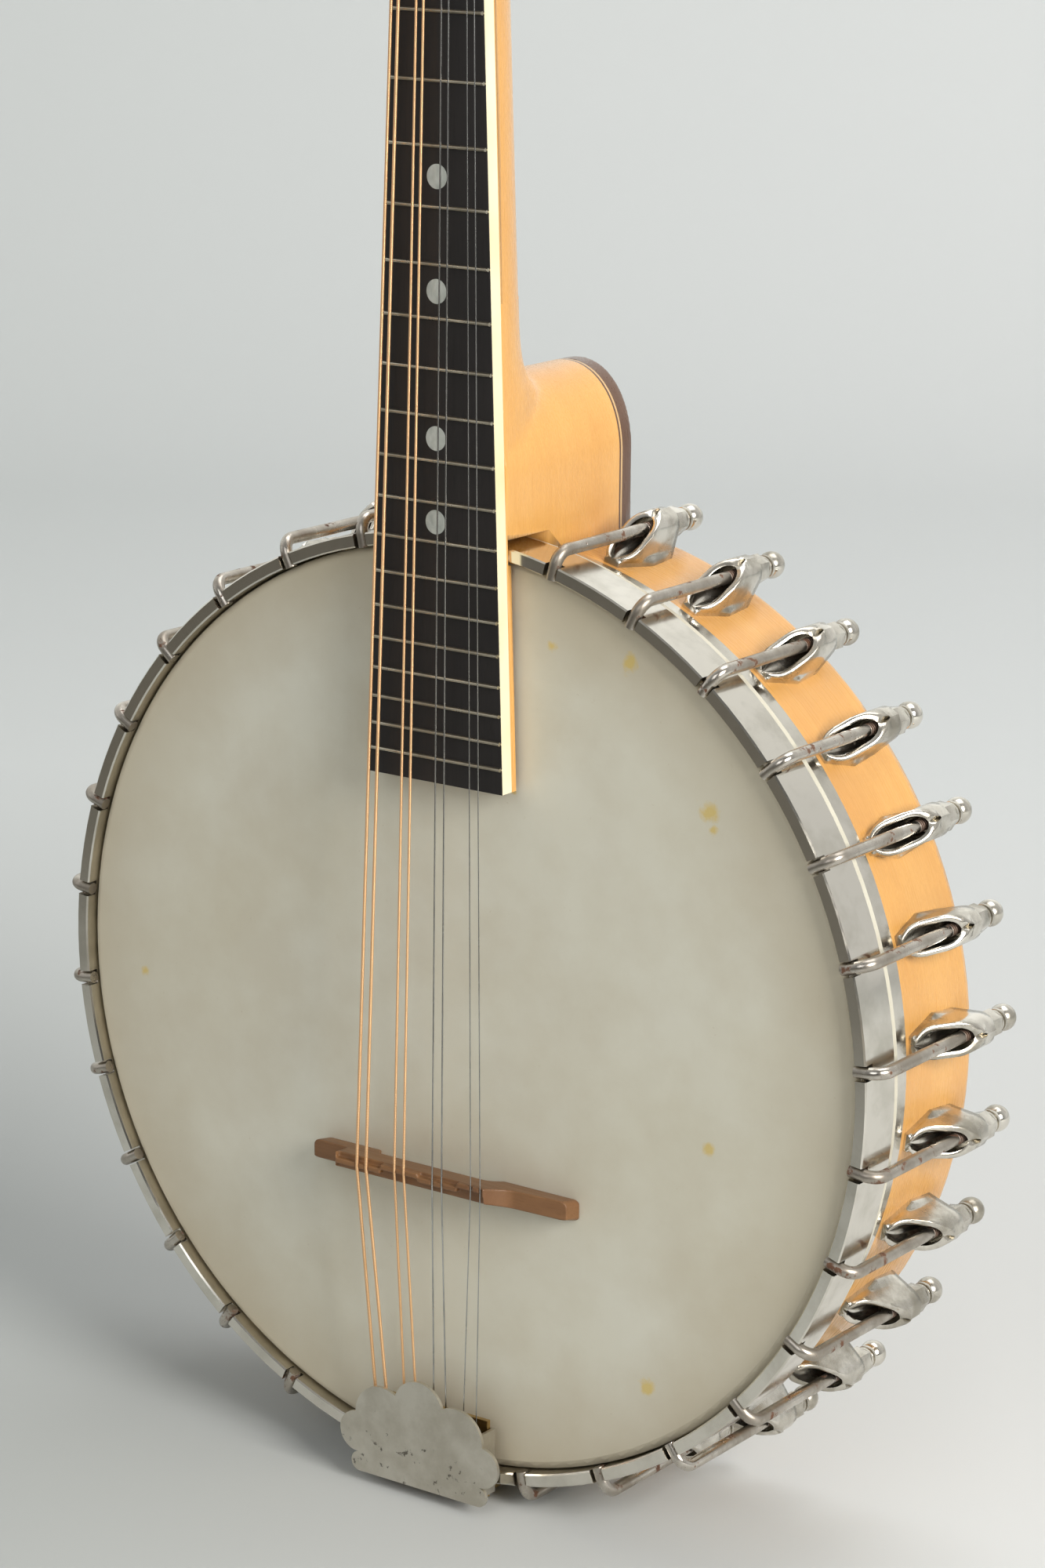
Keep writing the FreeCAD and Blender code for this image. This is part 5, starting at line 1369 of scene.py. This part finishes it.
@dataclass
class CarvedHeel:
    """The neck and the heel's cap, with the heel's top arched across and swept into the shaft.

    Lengths are in millimetres; heights are from the pot's axis and depths from the hoop's front.
    """

    finishes: Finishes
    low: float = 135.5
    high: float = 196.0
    crest: float = 173.6
    arch_start: float = 149.5
    arch_power: float = 2.1
    front: float = -1.1
    back: float = 60.0
    shaft_depth: float = 20.5
    shaft_flat: float = 2.2
    heel_half: float = 17.2
    neck_half: Tuple[float, float] = (19.7, 17.401)
    roundness: float = 1.9
    side_points: int = 24
    layer_backs: Tuple[float, float, float] = (54.4, 53.6, 52.8)
    sweep: float = 6.0
    sweep_length: float = 6.0
    grain: float = 0.45
    passes: int = 200
    spare: float = 3.0
    blend_in: Tuple[float, float] = (152.0, 164.0)
    blend_out: Tuple[float, float] = (184.0, 192.0)

    def _half(self, height: float) -> float:
        """Return the neck's half width at its front at a height."""
        low_half, high_half = self.neck_half
        return low_half + (high_half - low_half) * (height - self.low) / (self.high - self.low)

    def _side(self, half: float, flat: float, depth: float) -> List[Tuple[float, float]]:
        """Return one side of a section as (x, depth) pairs, from the front edge to the flat back.

        Args:
            half: The section's half width at the front.
            flat: The flat back's half width.
            depth: How far the back is from the front.

        Returns:
            One side of a section as (x, depth) pairs, from the front edge to the flat back.
        """
        power = 2.0 / self.roundness
        side = []
        for k in range(self.side_points):
            turn = math.radians(90.0 * k / (self.side_points - 1))
            side.append((flat + (half - flat) * max(0.0, math.cos(turn)) ** power,
                         self.front + depth * math.sin(turn) ** power))
        return side

    def _shaft(self, pot: PotPlace) -> bpy.types.Object:
        """Return the length of the shaft that the heel is swept into.

        Args:
            pot: The pot's place.

        Returns:
            The length of the shaft that the heel is swept into.
        """
        def loft(shape: bmesh.types.BMesh) -> None:
            """Add the two ends and the sides between them.

            Args:
                shape: The mesh that is being built.
            """
            rows = []
            sweep_start = self.crest - 3.0
            steps = [sweep_start + (self.high + self.spare - sweep_start) * k / 16 for k in range(17)]
            for height in (self.low - self.spare, *steps):
                extra = self.sweep * math.exp(-(max(height, sweep_start) - self.crest) / self.sweep_length)
                side = self._side(self._half(height), self.shaft_flat, self.shaft_depth + extra)
                ring = side + [(-x, y) for x, y in reversed(side)]
                rows.append([shape.verts.new(pot.at(x, y, height)) for x, y in ring])
            skin_rings(shape, rows)
        return mesh_object("shaft_root", loft)

    def _loaf(self, pot: PotPlace) -> bpy.types.Object:
        """Return the heel as an arch drawn out from front to back.

        Args:
            pot: The pot's place.

        Returns:
            The heel as an arch drawn out from front to back.
        """
        def loft(shape: bmesh.types.BMesh) -> None:
            """Add an arch at each depth and the faces between them.

            Args:
                shape: The mesh that is being built.
            """
            bottom = self.low - self.spare
            rows = []
            for half, y in self._side(self._half(self.low), self.heel_half, self.back - self.front):
                ring = [(half, bottom)]
                for k in range(self.side_points + 1):
                    turn = math.radians(90.0 * k / self.side_points)
                    share = 2.0 / self.arch_power
                    ring.append((half * max(0.0, math.cos(turn)) ** share,
                                 self.arch_start + (self.crest - self.arch_start) * math.sin(turn) ** share))
                ring[-1] = (0.0, self.crest)
                ring += [(-x, height) for x, height in reversed(ring[:-1])]
                rows.append([shape.verts.new(pot.at(x, y, height)) for x, height in ring])
            skin_rings(shape, rows)
        return mesh_object("heel_loaf", loft)

    def _cut(self, source: bpy.types.Object, cuts: Sequence[Tuple[str, float, int]], name: str,
             pot: PotPlace) -> bpy.types.Object:
        """Return what is left of a closed mesh behind some planes, closed where it is cut.

        Args:
            source: The closed mesh object.
            cuts: For each plane "depth" or "height", its value, and 1 to take away what is beyond it or -1
                for what is before it.
            name: The new object's name.
            pot: The pot's place.

        Returns:
            What is left of a closed mesh behind some planes, closed where it is cut.
        """
        shape = bmesh.new()
        shape.from_mesh(source.data)
        for way, value, outward in cuts:
            point = pot.at(0.0, value, value)
            normal = (0.0, float(outward), 0.0) if way == "depth" else (0.0, 0.0, float(outward))
            cut = bmesh.ops.bisect_plane(
                shape, geom=[*shape.verts, *shape.edges, *shape.faces], dist=1e-7,
                plane_co=point, plane_no=normal, clear_outer=True)
            rim = [each for each in cut["geom_cut"] if isinstance(each, bmesh.types.BMEdge)]
            bmesh.ops.holes_fill(shape, edges=rim)
        mesh = bpy.data.meshes.new(name)
        shape.to_mesh(mesh)
        shape.free()
        part = bpy.data.objects.new(name, mesh)
        bpy.context.scene.collection.objects.link(part)
        return part

    def _join(self, name: str, parts: Sequence[bpy.types.Object]) -> bpy.types.Object:
        """Return one object made of several; they are removed.

        Args:
            name: The new object's name.
            parts: The objects to join; they are removed.

        Returns:
            One object made of several; they are removed.
        """
        shape = bmesh.new()
        for part in parts:
            shape.from_mesh(part.data)
            bpy.data.objects.remove(part)
        mesh = bpy.data.meshes.new(name)
        shape.to_mesh(mesh)
        shape.free()
        whole = bpy.data.objects.new(name, mesh)
        bpy.context.scene.collection.objects.link(whole)
        return whole

    def _worked(self, pot: PotPlace) -> bpy.types.Object:
        """Return the heel and the shaft's root as one mesh, smoothed where they meet.

        Args:
            pot: The pot's place.

        Returns:
            The heel and the shaft's root as one mesh, smoothed where they meet.
        """
        rough = self._join("heel_rough", [self._shaft(pot), self._loaf(pot)])
        remesh = rough.modifiers.new("rebuild", "REMESH")
        remesh.mode = "VOXEL"
        remesh.voxel_size = self.grain * MM
        even = bake(rough, "heel_even")
        bpy.data.objects.remove(rough)

        def ramp(value: float, first: float, last: float) -> float:
            """Return a soft step from none to one between two values."""
            share = min(1.0, max(0.0, (value - first) / (last - first)))
            return share * share * (3.0 - 2.0 * share)

        group = even.vertex_groups.new(name="worked")
        for vert in even.data.vertices:
            y, z = (vert.co.y - pot.front) / MM, (vert.co.z - pot.centre_height) / MM
            share = (ramp(z, *self.blend_in) * (1.0 - ramp(z, *self.blend_out))
                     * ramp(y, 1.0, 8.0) * (1.0 - ramp(y, 44.0, 54.0)))
            if share > 0.0:
                group.add([vert.index], share, "REPLACE")
        smooth = even.modifiers.new("work", "SMOOTH")
        smooth.factor = 0.5
        smooth.iterations = self.passes
        smooth.vertex_group = group.name
        thin = even.modifiers.new("thin", "DECIMATE")
        thin.ratio = 0.5
        worked = bake(even, "heel_worked")
        bpy.data.objects.remove(even)
        return worked

    def build(self, pot: PotPlace) -> None:
        """Build the neck and the heel's three layers in place of the plain ones.

        Args:
            pot: The pot's place.
        """
        worked = self._worked(pot)
        ends = [("height", self.low, -1), ("height", self.high, 1)]
        outer, middle, inner = self.layer_backs
        plain = copy_of_node("neck", lambda middle: True, "neck_whole")
        maple = [self._cut(plain, [("height", self.low, 1), ("depth", inner, 1)], "neck_low", pot),
                 self._cut(plain, [("height", self.high, -1)], "neck_high", pot),
                 self._cut(worked, [("depth", inner, 1), *ends], "neck_heel", pot)]
        pieces = [("carved_neck", maple, self.finishes.neck_maple, "maple_neck", "neck")]
        for node, near, far, finish, slot in (
                ("heel_dark_line", inner, middle, self.finishes.heel_brown, "heel_brown"),
                ("heel_light_line", middle, outer, self.finishes.heel_light, "heel_light"),
                ("heel_cap", outer, self.back + 1.0, self.finishes.heel_brown, "heel_brown")):
            slab = [("depth", near, -1), ("depth", far, 1)]
            parts = [self._cut(plain, [("height", self.low, 1), *slab], node + "_low", pot),
                     self._cut(worked, [*slab, *ends], node + "_high", pot)]
            if node == "heel_cap":
                for layer in ("heel_cap", "heel_light_line", "heel_dark_line"):
                    whole = copy_of_node(layer, lambda middle: True, layer + "_whole")
                    parts.append(self._cut(whole, [("height", self.low, 1)], layer + "_foot", pot))
                    bpy.data.objects.remove(whole)
            pieces.append(("carved_" + node, parts, finish, slot, node))
        bpy.data.objects.remove(plain)
        bpy.data.objects.remove(worked)
        for name, parts, finish, slot, node in pieces:
            piece = self._join(name, parts)
            finish.dress(piece)
            shade(piece, 38.0)
            show(piece, MAIN_BODY, slot, node)


# ------------------------------------------------------------------ the studio
@dataclass(frozen=True)
class Studio:
    """A pale floor that sweeps up into a backdrop, with a painted shadow on the floor's left, a backdrop
    painted darker on its left, and painted reflections; soft lamps and the camera.
    """

    pot: PotPlace
    # The floor's left is painted darker as the banjo's shadow, and the backdrop's left painted darker as the
    # side away from the key lamp: painted shade.
    floor_left_painted_shadow: Colour = (0.45, 0.47, 0.46)
    near_right: Colour = (0.68, 0.69, 0.685)
    backdrop_left_painted_shade: Colour = (0.66, 0.685, 0.68)
    far_right: Colour = (0.73, 0.75, 0.75)
    # Seen only by glossy rays on the sheet in front of the banjo: a painted reflection of a dark room.
    painted_dark_reflection: Colour = (0.15, 0.14, 0.12)
    camera_place: Vector = Vector((655.75, -876.16, 346.58))
    camera_right: Vector = Vector((0.81017, 0.58613, 0.00910))
    camera_view: Vector = Vector((-0.56588, 0.78605, -0.24878))
    lens: float = 96.81
    air_level: float = 0.40
    # Levels that glossy rays see: a painted reflection, dark towards the camera and bright ahead.
    mirrored_room: float = 0.10
    mirrored_paper: float = 0.85
    # How strongly the sheet glows for glossy rays only: a painted reflection of bright light, not a lamp.
    painted_reflection_glow: float = 0.42

    def _away(self) -> Vector:
        """Return the level direction from the camera to the banjo."""
        return Vector((self.camera_view.x, self.camera_view.y, 0.0)).normalized()

    def _side(self) -> Vector:
        """Return the level direction across the camera's view, to its right."""
        away = self._away()
        return Vector((away.y, -away.x, 0.0))

    def _sweep(self) -> None:
        """Build the floor and backdrop as one curved sheet that faces the camera."""
        away, side = self._away(), self._side()
        reach, bend, top, half = 1.5, 0.6, 3.2, 4.0
        path = [(-4.0, 0.0), (reach, 0.0)]
        for step in range(1, 13):
            turn = math.radians(90.0 * step / 12)
            path.append((reach + bend * math.sin(turn), bend * (1.0 - math.cos(turn))))
        path.append((reach + bend, top))

        def build(shape: bmesh.types.BMesh) -> None:
            """Add the sheet's strips along its path.

            Args:
                shape: The mesh that is being built.
            """
            rows = []
            for along, high in path:
                foot = away * along + Vector((0.0, 0.0, high))
                rows.append([shape.verts.new(foot - side * half), shape.verts.new(foot + side * half)])
            for near, far in zip(rows, rows[1:]):
                shape.faces.new((near[0], near[1], far[1], far[0]))

        sweep = mesh_object("studio_sweep", build)
        shade(sweep, 60.0)
        sweep.data.materials.append(self._sweep_material())

    def _sweep_material(self) -> bpy.types.Material:
        """Return the sweep's matt paper, with a painted shadow on the floor's left, a backdrop painted
        darker on its left, and painted reflections.

        Returns:
            The sweep's matt paper with its painted shade and painted reflections.
        """
        paper = bpy.data.materials.new("studio_paper")
        paper.use_nodes = True
        paper.node_tree.nodes.clear()
        board = Board(paper.node_tree)
        place = board.add("ShaderNodeTexCoord").outputs["Object"]
        across = board.add("ShaderNodeVectorMath", {0: place, 1: self._side()},
                           operation="DOT_PRODUCT").outputs[1]
        along = board.add("ShaderNodeVectorMath", {0: place, 1: self._away()},
                          operation="DOT_PRODUCT").outputs[1]
        # Painted shade: the floor darker on its left as the banjo's shadow, the backdrop darker on its left,
        # away from the key lamp.
        near = board.blend(board.spread(across, -0.17, 0.15, 0.0, 1.0), self.floor_left_painted_shadow, self.near_right)
        far = board.blend(board.spread(across, -0.35, 0.35, 0.0, 1.0), self.backdrop_left_painted_shade, self.far_right)
        paper_with_painted_shade = board.blend(board.spread(along, 0.15, 0.8, 0.0, 1.0), near, far)
        parts = board.add("ShaderNodeSeparateXYZ", {0: place}).outputs
        # Glossy rays see the sheet in front of the banjo dark: a painted reflection of a dark room.
        in_front = board.spread(parts[1], -0.2, -0.5, 0.0, 1.0)
        mirrored = board.add("ShaderNodeLightPath").outputs["Is Glossy Ray"]
        colour = board.blend(board.math("MULTIPLY", in_front, mirrored), paper_with_painted_shade, self.painted_dark_reflection)
        shader = board.add("ShaderNodeBsdfPrincipled", {
            "Base Color": colour, "Roughness": 0.85, "Specular IOR Level": 0.2})
        # Glossy rays see the sheet glow, more the higher it is: a painted reflection of bright light, not a
        # lamp.
        high = board.spread(parts[2], 0.15, 0.9, 0.0, self.painted_reflection_glow)
        glow = board.add("ShaderNodeEmission", {
            "Color": (1.0, 0.98, 0.94, 1.0), "Strength": board.math("MULTIPLY", high, mirrored)})
        both = board.add("ShaderNodeAddShader", {0: shader.outputs[0], 1: glow.outputs[0]})
        board.add("ShaderNodeOutputMaterial", {"Surface": both.outputs[0]})
        return paper

    def _lamp(self, name: str, place: Vector, size: Tuple[float, float], watts: float,
              colour: Colour) -> None:
        """Add a soft lamp that looks at the pot.

        Args:
            name: The lamp's name.
            place: Its place.
            size: Its width and height.
            watts: Its power.
            colour: Its light's colour.
        """
        data = bpy.data.lights.new(name, "AREA")
        data.shape = "RECTANGLE"
        data.size, data.size_y = size
        data.energy = watts
        data.color = colour
        lamp = bpy.data.objects.new(name, data)
        bpy.context.scene.collection.objects.link(lamp)
        lamp.location = place
        target = Vector((0.0, 0.0, self.pot.centre_height + 0.05))
        lamp.rotation_euler = (target - place).to_track_quat("-Z", "Y").to_euler()

    def _world(self) -> None:
        """Light everything a little from all sides, and show glossy rays a painted reflection: darker
        towards the camera, brighter ahead.
        """
        world = bpy.data.worlds.new("studio_air")
        bpy.context.scene.world = world
        world.use_nodes = True
        world.node_tree.nodes.clear()
        board = Board(world.node_tree)
        direction = board.add("ShaderNodeTexCoord").outputs["Generated"]
        ahead = board.add("ShaderNodeVectorMath", {0: direction, 1: self._away()},
                          operation="DOT_PRODUCT").outputs[1]
        # Glossy rays see the world darker towards the camera and brighter ahead: a painted reflection; other
        # rays see the even air level.
        room = board.spread(ahead, -0.75, 0.1, self.mirrored_room, self.mirrored_paper)
        mirrored = board.add("ShaderNodeLightPath").outputs["Is Glossy Ray"]
        level = board.math("ADD", board.math("MULTIPLY", mirrored,
                                             board.math("SUBTRACT", room, self.air_level)),
                           self.air_level)
        back = board.add("ShaderNodeBackground", {"Color": (0.83, 0.83, 0.81, 1.0), "Strength": level})
        board.add("ShaderNodeOutputWorld", {"Surface": back.outputs[0]})

    def _camera(self) -> None:
        """Set up the camera."""
        data = bpy.data.cameras.new("camera")
        data.lens = self.lens
        data.sensor_width = 36.0
        data.clip_start, data.clip_end = 0.05, 30.0
        camera = bpy.data.objects.new("camera", data)
        bpy.context.scene.collection.objects.link(camera)
        up = self.camera_right.cross(self.camera_view)
        turn = Matrix((self.camera_right, up, -self.camera_view)).transposed().to_4x4()
        camera.matrix_world = Matrix.Translation(self.pot.at(*self.camera_place)) @ turn
        bpy.context.scene.camera = camera

    def build(self) -> None:
        """Build the studio."""
        self._camera()
        self._sweep()
        self._world()
        self._lamp("key", Vector((2.5, -0.75, 1.35)), (1.2, 1.2), 80.0, (1.0, 0.975, 0.93))
        self._lamp("front_fill", Vector((0.6, -2.6, 1.5)), (1.6, 1.6), 15.0, (0.97, 0.985, 1.0))
        self._lamp("top", Vector((0.2, 0.6, 2.6)), (1.8, 1.4), 22.0, (1.0, 1.0, 1.0))
        bpy.context.scene.view_settings.view_transform = "Standard"


def main() -> None:
    """Build the studio, dress the solids and build the finer pieces."""
    logging.basicConfig(level=logging.INFO, format="%(name)s: %(message)s")
    pot = PotPlace.from_frame()
    Studio(pot).build()
    finishes = Finishes(pot)
    for node, finish in finishes.by_node().items():
        finish.dress(frame["nodes"][node])
        frame["nodes"][node].data.shade_smooth()
    Brackets(pot, finishes).build()
    Frets(finishes).build()
    StringEnds(finishes).build()
    CarvedBridge(finishes).build(pot)
    CarvedHeel(finishes).build(pot)


if __name__ == "__main__":
    main()
